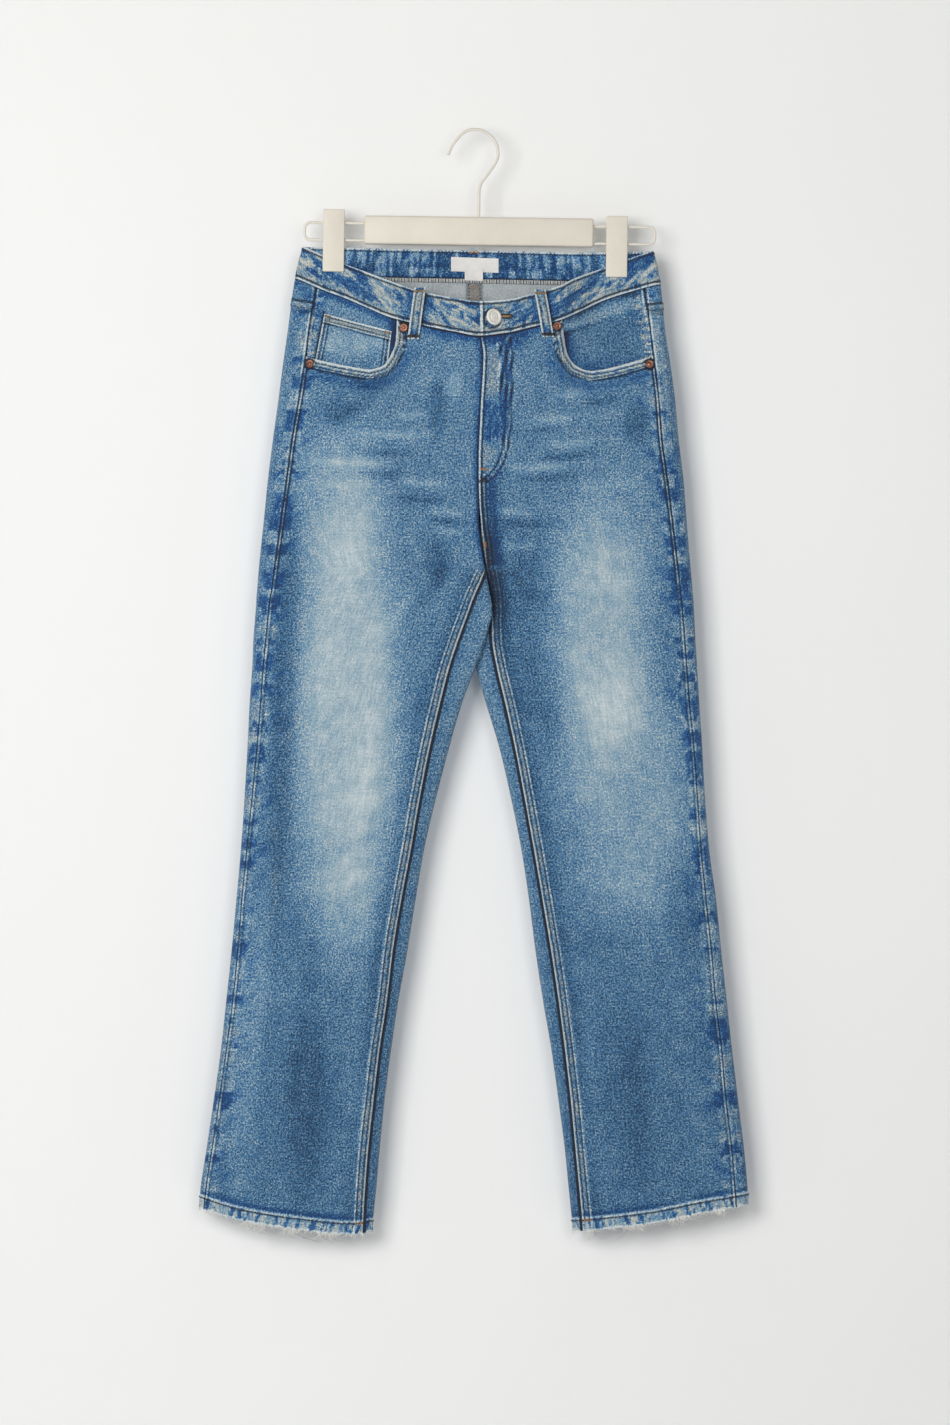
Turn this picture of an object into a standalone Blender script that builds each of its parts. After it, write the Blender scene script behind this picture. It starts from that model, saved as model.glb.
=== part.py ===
"""Straight cropped five-pocket jeans hanging from a clip hanger.

Millimetres inside the functions, metres in the meshes. The origin is the inside top of the
hanger's hook, +X is to the wearer's left, +Y is towards the wall, and +Z is up. Heights are
given as drops below the origin. A reach is a distance from the hook's centre line towards
the wearer's own side, so one formula serves both halves.
"""

import math

import bpy
import numpy as np

MM = 0.001
RIGHT = -1  # the wearer's right side, at -X
LEFT = 1
FRONT = -1  # the face away from the wall
BACK = 1

# Cloth and seams
CLOTH_WALL = 1.2
BAND_WALL = 2.2
HEM_TURN = 12.0
HEM_EXTRA = 1.3
SEAM_GAP = 0.3
CROTCH_GAP = 0.5
LAYER_GAP = 0.45  # between coarse facets that lie on each other
POCKET_WALL = 1.2
COIN_WALL = 1.0
LABEL_WALL = 0.7

# Heights, as drops below the inside of the hook
OPENING_ENDS = 395.0
CROTCH = 438.0
CROTCH_X = 12.5
HEM_LEVEL = 1104.0
HEM_TILT_FROM = 950.0
PANEL_STRAIGHT = 290.0
BACK_STRAIGHT = 330.0
YOKE_LEVEL = 207.0
ROUNDNESS = 2.8  # exponent of the flattened rings that the legs make
FOLD_SHARPNESS = 16  # how late the gripped cloth closes into its fold beside a clip
CENTRE_CLEARANCE = 0.8  # how far each half keeps off the centre line near the crotch
CLEARANCE_FROM = 370.0
TWIST_REACH = 5.0  # how far above and below the crotch the panels stand further apart
TWIST_BELOW = 3.0
MID_BAND = 160.0  # a level in the waistband at the side seams
MID_YOKE = 170.0
BUTTON_LAP = 40.0  # the right waistband ends this far on the left of the hook's centre line
LAP_DIVE = 9.0
FLY_FOOT_TAPER = 8.0
FACING_BELOW_MOUTH = 40.0
FACING_FOOT = 256.0
LOOP_BOW = 1.4

# Hanger
CLIP_CENTRE = {RIGHT: -140.2, LEFT: 143.4}
CLIP_HALF_FLAT = 14.0
CLIP_FADE = 62.0
CLIP_GRIP_END = 150.0
CLIP_GRIP_FADE = 265.0
GRIP_DEPTH = 1.25
CLIP_WIDTH = 21.5
CLIP_WALL = 2.4
WIRE = 3.0
HOOK_WIRE = 3.2

# Each half of the garment, level by level: drop, then the reach of the outer fold, of the
# side seam on the front, of the inseam on the front and of the inner fold.
SECTIONS = {
    RIGHT: (
        # drop, outer fold, side seam, inseam, inner fold
        (116, 171.0, 157.0, -5.0, -5.0),
        (155, 180.0, 158.5, -5.0, -5.0),
        (200, 186.0, 165.5, -8.0, -8.0),
        (235, 191.0, 169.5, -8.0, -8.0),
        (270, 195.5, 175.0, -7.0, -7.0),
        (310, 201.0, 182.0, -5.0, -5.0),
        (350, 206.0, 187.5, -5.0, -5.0),
        (390, 210.0, 193.0, -6.0, -6.0),
        (438, 215.0, 199.5, -11.7, -11.7),
        (448, 215.8, 200.6, -8.5, -12.6),
        (460, 216.8, 202.0, -3.2, -15.0),
        (470, 217.5, 204.0, 1.0, -17.0),
        (480, 218.2, 205.0, 4.6, -17.7),
        (510, 220.5, 208.0, 15.5, -10.5),
        (536, 221.5, 210.5, 24.2, -1.6),
        (570, 224.0, 213.0, 33.0, 11.5),
        (620, 226.5, 217.0, 44.7, 26.0),
        (670, 229.5, 222.0, 54.5, 39.0),
        (720, 233.0, 227.0, 63.2, 50.5),
        (770, 237.5, 232.0, 72.7, 59.0),
        (820, 242.2, 236.0, 81.0, 67.0),
        (870, 247.5, 241.0, 87.0, 76.0),
        (920, 253.0, 247.5, 94.5, 83.5),
        (970, 260.0, 254.5, 100.5, 90.0),
        (1020, 267.5, 262.0, 106.0, 95.0),
        (1060, 273.5, 268.0, 109.0, 98.5),
        (1104, 277.0, 271.5, 111.5, 103.0),
    ),
    LEFT: (
        (116, 178.0, 169.0, 5.0, 5.0),
        (155, 186.5, 170.8, 5.0, 5.0),
        (200, 191.0, 177.0, 8.0, 8.0),
        (235, 196.5, 181.0, 8.0, 8.0),
        (270, 201.0, 184.8, 7.0, 7.0),
        (310, 204.6, 188.0, 5.0, 5.0),
        (350, 209.5, 193.5, 5.0, 5.0),
        (390, 212.5, 198.5, 6.0, 6.0),
        (438, 216.5, 204.0, 13.3, 13.3),
        (448, 217.5, 205.0, 14.8, 13.1),
        (460, 218.5, 206.2, 16.5, 8.0),
        (470, 219.3, 207.2, 17.4, 0.0),
        (480, 219.9, 208.2, 17.8, -6.0),
        (490, 220.4, 209.0, 17.6, -9.0),
        (510, 221.3, 210.5, 18.2, -6.5),
        (536, 223.0, 212.5, 22.5, 1.6),
        (570, 225.0, 215.0, 30.5, 11.5),
        (620, 228.3, 220.0, 41.5, 26.5),
        (670, 231.0, 223.5, 51.0, 38.0),
        (720, 235.2, 227.0, 60.0, 48.0),
        (770, 242.0, 232.0, 68.6, 55.6),
        (820, 247.0, 237.3, 77.0, 62.0),
        (870, 252.5, 241.5, 84.5, 69.5),
        (920, 258.0, 247.5, 91.0, 78.0),
        (970, 264.0, 252.0, 96.8, 85.0),
        (1020, 270.0, 257.8, 101.6, 91.5),
        (1060, 273.5, 261.0, 105.5, 95.5),
        (1104, 275.5, 264.0, 109.5, 100.0),
    ),
}

# How far the cloth stands off the middle plane: drop, then front and back, each at the
# outer half and at the inner end, then how far the inner end of each leg is shifted in y.
DEPTHS = (
    # drop, front outer, front inner, back outer, back inner, right shift, left shift
    (116, 15.0, 23.0, 6.5, 7.0, 0.0, 0.0),
    (160, 18.0, 25.0, 8.0, 8.0, 0.0, 0.0),
    (200, 20.0, 25.0, 10.0, 9.5, 0.0, 0.0),
    (270, 20.5, 22.5, 14.0, 15.0, 0.0, 0.0),
    (350, 20.0, 20.0, 18.0, 20.0, -0.5, -0.5),
    (390, 19.5, 17.5, 19.0, 18.0, -2.5, -2.5),
    (438, 19.0, 9.0, 19.0, 9.0, -6.0, -6.0),
    (448, 19.0, 8.0, 19.0, 8.0, -9.2, -1.5),
    (460, 18.8, 7.5, 18.8, 7.5, -12.6, 0.8),
    (480, 18.5, 7.0, 18.5, 7.0, -14.0, 1.8),
    (510, 18.2, 7.5, 18.2, 7.5, -12.5, 1.5),
    (560, 18.0, 10.5, 18.0, 10.5, -7.0, 0.5),
    (630, 18.0, 14.0, 18.0, 14.0, -1.0, 0.0),
    (700, 17.5, 15.0, 17.5, 15.0, 0.0, 0.0),
    (900, 16.0, 14.0, 16.0, 14.0, 0.0, 0.0),
    (1104, 14.5, 13.0, 14.5, 13.0, 0.0, 0.0),
)

# Centre line of the seat: drop, then x at the front (the fly's edge) and at the back
CENTRE = (
    # drop, front x, back x
    (116, 5.0, 0.0),
    (205, 6.4, 1.0),
    (225, 9.2, 1.5),
    (276, 6.6, 2.5),
    (335, 4.3, 4.5),
    (390, 5.6, 7.5),
    (412, 8.2, 10.0),
    (438, 12.5, 12.5),
)

# Waistband on the front: x, then the drops of its upper edge and of its lower seam
FRONT_BAND = (
    # x, upper edge, lower seam
    (-186, 112.0, 144.5),
    (-171, 116.0, 150.7),
    (-152, 124.0, 159.0),
    (-128, 133.7, 168.0),
    (-110, 140.7, 176.0),
    (-82, 152.0, 188.3),
    (-59, 160.3, 194.0),
    (-19, 168.8, 202.4),
    (5, 172.0, 206.4),
    (33, 170.4, 203.4),
    (58, 164.5, 197.5),
    (86, 156.0, 190.5),
    (100, 148.6, 184.3),
    (131, 136.7, 169.5),
    (155, 128.0, 161.5),
    (177, 120.5, 155.6),
    (192, 116.0, 152.5),
)

# Waistband and yoke on the back: x, then three drops
BACK_TOP = (
    # x, band's upper edge, band's lower seam, yoke's seam
    (-186, 115.0, 147.0, 166.0),
    (-171, 116.0, 148.5, 168.5),
    (-114, 117.0, 150.0, 181.0),
    (0, 119.0, 152.0, 209.0),
    (60, 120.3, 153.3, 197.0),
    (120, 121.6, 154.6, 184.0),
    (178, 120.5, 155.6, 171.5),
    (192, 119.5, 155.0, 170.5),
)
YOKE_AT_SIDE_SEAM = {RIGHT: 171.0, LEFT: 173.0}

# Pocket mouths: reach and drop, from the waistband's seam round to the side seam
POCKET_MOUTH = {
    RIGHT: (
        # reach, drop
        (77.0, 190.2),
        (78.2, 212.0),
        (83.2, 226.0),
        (90.5, 236.0),
        (104.2, 240.0),
        (126.7, 236.4),
        (147.7, 232.0),
        (169.5, 226.5),
    ),
    LEFT: (
        (88.0, 190.0),
        (89.7, 205.6),
        (93.4, 224.7),
        (102.0, 236.4),
        (116.8, 241.6),
        (137.4, 238.2),
        (159.4, 232.0),
        (180.4, 225.8),
    ),
}

# Lower edges of the legs: reach, drop
HEMS = {
    RIGHT: ((100, 1101.5), (121, 1104.4), (180, 1099.0), (235, 1090.0), (277, 1078.0)),
    LEFT: ((98, 1102.0), (121, 1100.0), (176, 1093.4), (233, 1082.4), (276, 1075.5)),
}

# The largest folds, as soft ridges (out) or troughs (in) on one face of one half
FOLDS = (
    # side, face, from reach, from drop, to reach, to drop, half width, height
    (RIGHT, FRONT, 40.0, 300.0, 170.0, 268.0, 9.0, 1.6),
    (RIGHT, FRONT, 20.0, 345.0, 160.0, 322.0, 10.0, -1.6),
    (RIGHT, FRONT, 25.0, 372.0, 185.0, 362.0, 10.0, 1.5),
    (RIGHT, FRONT, 35.0, 540.0, 150.0, 640.0, 18.0, -1.6),
    (RIGHT, FRONT, 95.0, 760.0, 190.0, 700.0, 20.0, -1.5),
    (RIGHT, FRONT, 190.0, 930.0, 230.0, 1060.0, 14.0, 1.8),
    (LEFT, FRONT, 50.0, 302.0, 175.0, 272.0, 9.0, 1.5),
    (LEFT, FRONT, 30.0, 350.0, 170.0, 326.0, 10.0, -1.6),
    (LEFT, FRONT, 30.0, 380.0, 190.0, 366.0, 10.0, 1.4),
    (LEFT, FRONT, 50.0, 520.0, 160.0, 610.0, 18.0, -1.6),
    (LEFT, FRONT, 80.0, 740.0, 190.0, 790.0, 20.0, -1.5),
    (LEFT, FRONT, 150.0, 930.0, 200.0, 1080.0, 15.0, 1.6),
    (RIGHT, BACK, 40.0, 420.0, 170.0, 380.0, 12.0, -2.0),
    (RIGHT, BACK, 45.0, 460.0, 180.0, 440.0, 12.0, 1.8),
    (RIGHT, BACK, 100.0, 700.0, 200.0, 660.0, 16.0, -1.8),
    (LEFT, BACK, 40.0, 415.0, 170.0, 385.0, 12.0, -2.0),
    (LEFT, BACK, 45.0, 455.0, 180.0, 445.0, 12.0, 1.8),
    (LEFT, BACK, 95.0, 690.0, 200.0, 670.0, 16.0, -1.8),
)

# Belt loops on the front: x and drop of the top, then of the bottom, then side
FRONT_LOOPS = (
    # name, side, top x, top drop, bottom x, bottom drop
    ("loop_front_right", RIGHT, -53.5, 158.5, -60.5, 210.0),
    ("loop_front_left", LEFT, 65.5, 160.5, 74.0, 208.0),
)
BACK_LOOPS = (
    ("loop_back_right", RIGHT, -118.0, 115.5, -119.0, 160.5),
    ("loop_back_centre", LEFT, 0.0, 116.5, 0.0, 162.0),
    ("loop_back_left", LEFT, 119.0, 119.0, 120.0, 165.0),
)
LOOP_WIDTH = 11.5
LOOP_WALL = 1.5

# Rivets at the pocket corners: side, x, drop
RIVETS = (
    ("rivet_right_inner", RIGHT, -70.2, 198.2),
    ("rivet_right_outer", RIGHT, -164.1, 234.0),
    ("rivet_left_inner", LEFT, 83.0, 196.6),
    ("rivet_left_outer", LEFT, 175.2, 234.2),
)
RIVET_PROFILE = ((0.0, 1.5), (1.6, 1.5), (2.6, 0.9), (3.8, 1.3), (4.3, 0.5), (4.3, 0.0), (0.0, 0.0))
BUTTON_X = 18.5
BUTTON_DROP = 188.6
BUTTON_PROFILE = (
    (0.0, 4.6), (4.0, 4.4), (5.0, 3.9), (6.4, 4.6), (7.6, 4.3), (8.4, 3.2), (7.8, 2.4), (5.0, 1.8),
    (4.0, 0.0), (0.0, 0.0),
)

COIN_POCKET = (
    # reach and drop of the corners: upper outer, upper inner, lower inner, lower outer
    (149.8, 182.8),
    (82.6, 201.8),
    (88.0, 249.0),
    (160.5, 240.0),
)
BACK_POCKET_WIDTH = 132.0
BACK_POCKET_TOP = 228.0
BACK_POCKET_HEIGHT = 138.0
BACK_POCKET_TIP = 18.0
BACK_POCKET_REACH = 84.0

# Hook: x and drop of the wire's middle, from the bar up and round to the free end
HOOK_ROUTE = (
    (4.6, 86.6), (4.8, 74.0), (5.0, 61.0), (6.7, 53.0), (10.9, 46.8), (17.2, 38.3), (22.0, 30.6),
    (24.2, 23.6), (23.5, 16.6), (20.0, 9.0), (13.7, 2.5), (6.0, -1.2), (0.0, -1.65),
    (-4.0, -1.2), (-10.8, 1.8), (-17.2, 8.2), (-22.8, 16.0), (-25.6, 23.0),
)
BAR = {"left": -110.0, "right": 120.0, "top": 86.2, "height": 28.6, "depth": 11.0, "fall": 4.2}
WIRE_LOOP = {"upper": 94.0, "lower": 111.2, "reach": {RIGHT: 169.6, LEFT: 181.4}, "corner": 6.0}
HANGER_TILT = math.atan2(4.9, 351.0)  # the left end of the hanger hangs a little lower

BLUE = (0.16, 0.29, 0.46, 1.0)
PALE_BLUE = (0.30, 0.43, 0.57, 1.0)
DEEP_BLUE = (0.09, 0.17, 0.33, 1.0)
CREAM = (0.80, 0.76, 0.66, 1.0)
WHITE = (0.85, 0.85, 0.84, 1.0)
COPPER = (0.60, 0.27, 0.16, 1.0)
PEWTER = (0.62, 0.60, 0.56, 1.0)


# ---------------------------------------------------------------- small numeric helpers

def monotone(rows, column, at):
    """Smooth interpolation in a table that never overshoots its rows."""
    table = np.array(rows, float)
    x = table[:, 0]
    y = table[:, column]
    step = np.diff(x)
    slope = np.diff(y) / step
    tangent = np.zeros(len(x))
    tangent[0] = slope[0]
    tangent[-1] = slope[-1]
    same = slope[1:] * slope[:-1] > 0
    weight_a = 2 * step[1:] + step[:-1]
    weight_b = step[1:] + 2 * step[:-1]
    with np.errstate(divide="ignore", invalid="ignore"):
        mean = (weight_a + weight_b) / (weight_a / slope[:-1] + weight_b / slope[1:])
    tangent[1:-1] = np.where(same, mean, 0.0)
    at = np.clip(np.asarray(at, float), x[0], x[-1])
    cell = np.clip(np.searchsorted(x, at, side="right") - 1, 0, len(x) - 2)
    h = step[cell]
    s = (at - x[cell]) / h
    keep = (1 + 2 * s) * (1 - s) ** 2 * y[cell] + s * s * (3 - 2 * s) * y[cell + 1]
    return keep + h * (s * (1 - s) ** 2 * tangent[cell] + s * s * (s - 1) * tangent[cell + 1])


def smooth(value, low=0.0, high=1.0):
    """0 below low, 1 above high, eased between."""
    s = np.clip((np.asarray(value, float) - low) / (high - low), 0.0, 1.0)
    return s * s * (3 - 2 * s)


def blend(a, b, weight):
    return a + (b - a) * weight


def along(route, count):
    """Points at even distances along a polyline."""
    route = np.asarray(route, float)
    gone = np.concatenate([[0.0], np.cumsum(np.linalg.norm(np.diff(route, axis=0), axis=1))])
    at = np.linspace(0.0, gone[-1], count)
    return np.stack([np.interp(at, gone, route[:, i]) for i in range(route.shape[1])], axis=1)


# ---------------------------------------------------------------- the cloth's middle surface

def outer_reach(side, drop):
    return monotone(SECTIONS[side], 1, drop)


def side_seam(side, drop):
    return monotone(SECTIONS[side], 2, drop)


def inner_reach(side, face, drop):
    """Reach of the centre line above the crotch, and of the leg's inner fold below it."""
    centre = np.where(face == FRONT, monotone(CENTRE, 1, drop), monotone(CENTRE, 2, drop))
    clearance = CENTRE_CLEARANCE * smooth(drop, CLEARANCE_FROM, OPENING_ENDS)
    above = side * centre + clearance
    return np.where(drop < CROTCH, above, monotone(SECTIONS[side], 4, drop))


def inseam(side, drop):
    return np.where(drop < CROTCH, inner_reach(side, FRONT, drop), monotone(SECTIONS[side], 3, drop))


def fold_relief(side, face, reach, drop):
    relief = np.zeros(np.broadcast(reach, drop).shape)
    for fold_side, fold_face, r0, d0, r1, d1, width, height in FOLDS:
        if fold_side != side:
            continue
        length = math.hypot(r1 - r0, d1 - d0)
        run = ((reach - r0) * (r1 - r0) + (drop - d0) * (d1 - d0)) / length**2
        off = ((reach - r0) * (d1 - d0) - (drop - d0) * (r1 - r0)) / length
        taper = smooth(run, -0.15, 0.3) * smooth(run, 1.15, 0.7)
        relief = relief + np.where(face == fold_face, height * taper * np.exp(-((off / width) ** 2)), 0)
    return relief


def shell(side, station, drop):
    """Middle surface of one half. Stations run round its ring: 0 is the centre front or the
    inner fold, 1 the outer fold, 2 the centre back or the inner fold again."""
    station = np.asarray(station, float)
    drop = np.asarray(drop, float)
    turn = math.pi * station
    cosine = np.cos(turn)
    sine = np.sin(turn)
    face = np.where(sine >= 0, FRONT, BACK)
    across = -np.sign(cosine) * np.abs(cosine) ** (2 / ROUNDNESS)
    bulge = np.abs(sine) ** (2 / ROUNDNESS)
    inner = inner_reach(side, face, drop)
    outer = outer_reach(side, drop)
    reach = inner + (outer - inner) * (across + 1) / 2
    closing = np.clip((drop - OPENING_ENDS) / (CROTCH - OPENING_ENDS), 0, 1)
    opening = np.sqrt(1 - closing**2)
    rounded = np.where(across < 0, opening + (1 - opening) * bulge, bulge)
    outer_depth = np.where(face == FRONT, monotone(DEPTHS, 1, drop), monotone(DEPTHS, 3, drop))
    inner_depth = np.where(face == FRONT, monotone(DEPTHS, 2, drop), monotone(DEPTHS, 4, drop))
    depth = blend(inner_depth, outer_depth, smooth(across, -1.0, 0.1)) * rounded
    depth = depth + fold_relief(side, face, reach, drop) * np.minimum(rounded, 1)
    off_clip = np.abs(side * reach - CLIP_CENTRE[side])
    pinch = smooth(off_clip, CLIP_FADE, CLIP_HALF_FLAT) * smooth(drop, CLIP_GRIP_FADE, CLIP_GRIP_END)
    fold_tip = np.sqrt(1 - np.clip(across, 0, 1) ** FOLD_SHARPNESS)
    depth = depth * (1 - pinch) + GRIP_DEPTH * pinch * fold_tip
    shift = monotone(DEPTHS, 5 if side == RIGHT else 6, drop) * smooth(-across, 0.0, 1.0)
    return np.stack([side * reach, shift + face * depth, -drop], axis=-1)


def on_front(side, reach, drop):
    """Station of a place on the front, given by its reach."""
    inner = inner_reach(side, FRONT, drop)
    across = np.clip(2 * (reach - inner) / (outer_reach(side, drop) - inner) - 1, -1, 1)
    return np.arccos(np.clip(-np.sign(across) * np.abs(across) ** (ROUNDNESS / 2), -1, 1)) / math.pi


def on_back(side, reach, drop):
    inner = inner_reach(side, BACK, drop)
    across = np.clip(2 * (reach - inner) / (outer_reach(side, drop) - inner) - 1, -1, 1)
    return 2 - np.arccos(np.clip(-np.sign(across) * np.abs(across) ** (ROUNDNESS / 2), -1, 1)) / math.pi


def reach_at(side, station, drop):
    return side * shell(side, station, drop)[..., 0]


def shell_and_normal(side, station, drop):
    """Points with their outward normals. Above the crotch the ring is open at its two ends."""
    small = 0.004
    low = np.where((drop < CROTCH) & (station >= 0) & (station < small), station, station - small)
    high = np.where((drop < CROTCH) & (station > 2 - small), station, station + small)
    run = shell(side, high, drop) - shell(side, low, drop)
    fall = shell(side, station, drop + 0.5) - shell(side, station, drop - 0.5)
    normal = np.cross(fall, run) * side
    normal /= np.linalg.norm(normal, axis=-1, keepdims=True)
    return shell(side, station, drop), normal


# ---------------------------------------------------------------- levels of the panels

def hem_drop(side, reach, level):
    """Rows of the leg tilt into the line of the hem below HEM_TILT_FROM."""
    hem = monotone(HEMS[side], 1, reach)
    share = np.clip((level - HEM_TILT_FROM) / (HEM_LEVEL - HEM_TILT_FROM), 0, None)
    return np.where(level > HEM_TILT_FROM, HEM_TILT_FROM + share * (hem - HEM_TILT_FROM), level)


def edge_on(side, station, column):
    """Drop of one of the waistband's edges at a station: column 1 is the upper, 2 the lower."""
    drop = np.full(np.shape(station), MID_BAND)
    for _ in range(5):
        x = side * reach_at(side, station, drop)
        front = monotone(FRONT_BAND, column, x)
        back = monotone(BACK_TOP, column, x)
        drop = np.where(np.asarray(station) <= 1.0, front, back)
    return drop


def yoke_seam(side, station):
    """Drop of the yoke's seam, which wraps onto the front as far as the side seam."""
    station = np.asarray(station, float)
    at_seam = YOKE_AT_SIDE_SEAM[side]
    start = on_front(side, side_seam(side, at_seam), at_seam)
    at_fold = monotone(BACK_TOP, 3, side * outer_reach(side, MID_YOKE))
    front = blend(at_seam, at_fold, np.clip((station - start) / (1 - start), 0, 1))
    drop = np.full(np.shape(station), MID_YOKE)
    for _ in range(5):
        drop = monotone(BACK_TOP, 3, side * reach_at(side, np.maximum(station, 1.0), drop))
    return np.where(station <= 1.0, front, drop)


def even_stations(side, start, end, level, count):
    """Stations spaced by distance and by how much the ring turns, so that folds stay round."""
    fine = np.linspace(start, end, 161)
    points = shell(side, fine, np.full(161, float(level)))
    step = np.diff(points[:, :2], axis=0)
    heading = np.unwrap(np.arctan2(step[:, 1], step[:, 0]))
    turning = np.abs(np.diff(heading, prepend=heading[0]))
    cost = np.concatenate([[0.0], np.cumsum(np.linalg.norm(step, axis=1) + 16.0 * turning)])
    return np.interp(np.linspace(0, cost[-1], count), cost, fine)


# ---------------------------------------------------------------- grids into solids

def drawn_in(points, bottom=SEAM_GAP / 2, first=SEAM_GAP / 2, last=SEAM_GAP / 2):
    """The grid with its edges moved inwards, by half a seam gap unless told otherwise."""
    points = points.copy()
    edges = (
        (SEAM_GAP / 2, (0, slice(None)), (1, slice(None))),
        (bottom, (-1, slice(None)), (-2, slice(None))),
        (first, (slice(None), 0), (slice(None), 1)),
        (last, (slice(None), -1), (slice(None), -2)),
    )
    for distance, edge, inside in edges:
        way = points[inside] - points[edge]
        length = np.linalg.norm(way, axis=-1, keepdims=True)
        amount = np.broadcast_to(distance, len(way))[:, None]
        points[edge] = points[edge] + way / np.maximum(length, 1e-6) * amount
    return points


def crotch_gap(levels):
    """The four panels meet in a twist at the crotch, so they stand a little further apart there."""
    off = (np.asarray(levels) - CROTCH - TWIST_BELOW) / TWIST_REACH
    return SEAM_GAP / 2 + CROTCH_GAP * np.exp(-(off**2))


def material(name, colour, roughness, metallic=0.0):
    made = bpy.data.materials.new(name)
    made.use_nodes = True
    shader = made.node_tree.nodes["Principled BSDF"]
    shader.inputs["Base Color"].default_value = colour
    shader.inputs["Roughness"].default_value = roughness
    shader.inputs["Metallic"].default_value = metallic
    return made


def add_mesh(name, points, faces, colour, roughness=0.85, metallic=0.0):
    mesh = bpy.data.meshes.new(name)
    mesh.from_pydata([tuple(p) for p in np.asarray(points) * MM], [], faces)
    mesh.validate()
    mesh.materials.append(material(name, colour, roughness, metallic))
    mesh.shade_smooth()
    made = bpy.data.objects.new(name, mesh)
    bpy.context.scene.collection.objects.link(made)
    return made


def cloth(name, points, normals, wall, colour, inner_extra=0.0, offset=0.0):
    """A closed wall around a grid of middle points."""
    rows, columns = points.shape[:2]
    middle = points + normals * offset
    outside = middle + normals * wall / 2
    inside = middle - normals * (wall / 2 + np.asarray(inner_extra))[..., None]
    count = rows * columns
    index = np.arange(count).reshape(rows, columns)
    a, b = index[:-1, :-1].ravel(), index[:-1, 1:].ravel()
    c, d = index[1:, 1:].ravel(), index[1:, :-1].ravel()
    quads = list(zip(a, b, c, d)) + list(zip(d + count, c + count, b + count, a + count))
    border = list(index[0, :-1]) + list(index[:-1, -1]) + list(index[-1, :0:-1]) + list(index[:0:-1, 0])
    for here, there in zip(border, border[1:] + border[:1]):
        quads.append((here + count, there + count, there, here))
    right = np.cross(points[1, 1] - points[0, 0], points[0, 1] - points[1, 0])
    if np.dot(right, normals[0, 0] + normals[1, 1]) > 0:
        quads = [tuple(reversed(quad)) for quad in quads]
    quads = [tuple(int(i) for i in quad) for quad in quads]
    return add_mesh(name, np.concatenate([outside.reshape(-1, 3), inside.reshape(-1, 3)]), quads, colour)


# ---------------------------------------------------------------- panels

LEG_LEVELS = (
    *np.linspace(PANEL_STRAIGHT, 405.0, 6), 422.0, 433.0, 438.0, 443.0, 450.0, 459.0, 470.0,
    483.0, 500.0, 522.0, 550.0, *np.linspace(590.0, 1040.0, 9), HEM_LEVEL - HEM_TURN,
    HEM_LEVEL - HEM_TURN + 1.0, HEM_LEVEL,
)
FRONT_INNER_SHARES = (0.0, 0.1, 0.27, 0.45, 0.64, 0.83, 1.0)
FRONT_POCKET_CELLS = 7
BACK_CELLS = 18


def hem_thickness(levels, columns):
    """Extra wall on the inside where the hem is turned up."""
    turned = np.where(np.asarray(levels) > HEM_LEVEL - HEM_TURN + 0.5, HEM_EXTRA, 0.0)
    return np.repeat(turned[:, None], columns, axis=1)


def front_panel_top(side):
    """Upper edge of a front: the waistband's seam, then the pocket mouth."""
    mouth = np.array(POCKET_MOUTH[side])
    start = inner_reach(side, FRONT, monotone(FRONT_BAND, 2, side * 5.0))
    reach = blend(start, mouth[0, 0], np.array(FRONT_INNER_SHARES))
    seam = np.stack([reach, monotone(FRONT_BAND, 2, side * reach)], axis=1)
    fine = np.linspace(0, len(mouth) - 1, 60)
    steps = np.arange(len(mouth))
    curve = [monotone(np.stack([steps, mouth[:, i]], axis=1), 1, fine) for i in (0, 1)]
    pocket = along(np.stack(curve, axis=1), FRONT_POCKET_CELLS + 1)
    return np.concatenate([seam, pocket[1:]])


def front_panel(side, name):
    top = front_panel_top(side)
    columns = len(top)
    share = (top[:, 0] - top[0, 0]) / (top[-1, 0] - top[0, 0])
    share = 0.7 * share + 0.3 * np.linspace(0, 1, columns) ** 1.3
    straight = float(PANEL_STRAIGHT)
    bottom = blend(inner_reach(side, FRONT, straight), side_seam(side, straight), share)
    reaches, drops, levels = [], [], []
    for step in np.linspace(0, 1, 6)[:-1]:
        reaches.append(blend(top[:, 0], bottom, step))
        drops.append(blend(top[:, 1], straight, step))
        levels.append(straight)
    for level in LEG_LEVELS:
        row = blend(inseam(side, level), side_seam(side, level), share)
        drop = hem_drop(side, row, level)
        reaches.append(blend(inseam(side, drop), side_seam(side, drop), share))
        drops.append(drop * np.ones(columns))
        levels.append(level)
    reach = np.array(reaches)
    drop = np.array(drops)
    reach[:5, 0] = inner_reach(side, FRONT, drop[:5, 0])
    reach[:5, -1] = side_seam(side, drop[:5, -1])
    points, normals = shell_and_normal(side, on_front(side, reach, drop), drop)
    extra = hem_thickness(levels, columns)
    points = drawn_in(points, bottom=0.0, first=crotch_gap(levels))
    cloth(name, points, normals, CLOTH_WALL, BLUE, extra)


def back_ends(side, level):
    """First and last station of a back at one level: side seam, and centre back or inseam."""
    start = on_front(side, side_seam(side, level), level)
    end = 2.0 if level <= CROTCH else 2.0 + on_front(side, inseam(side, level), level)
    return float(start), float(end)


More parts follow.
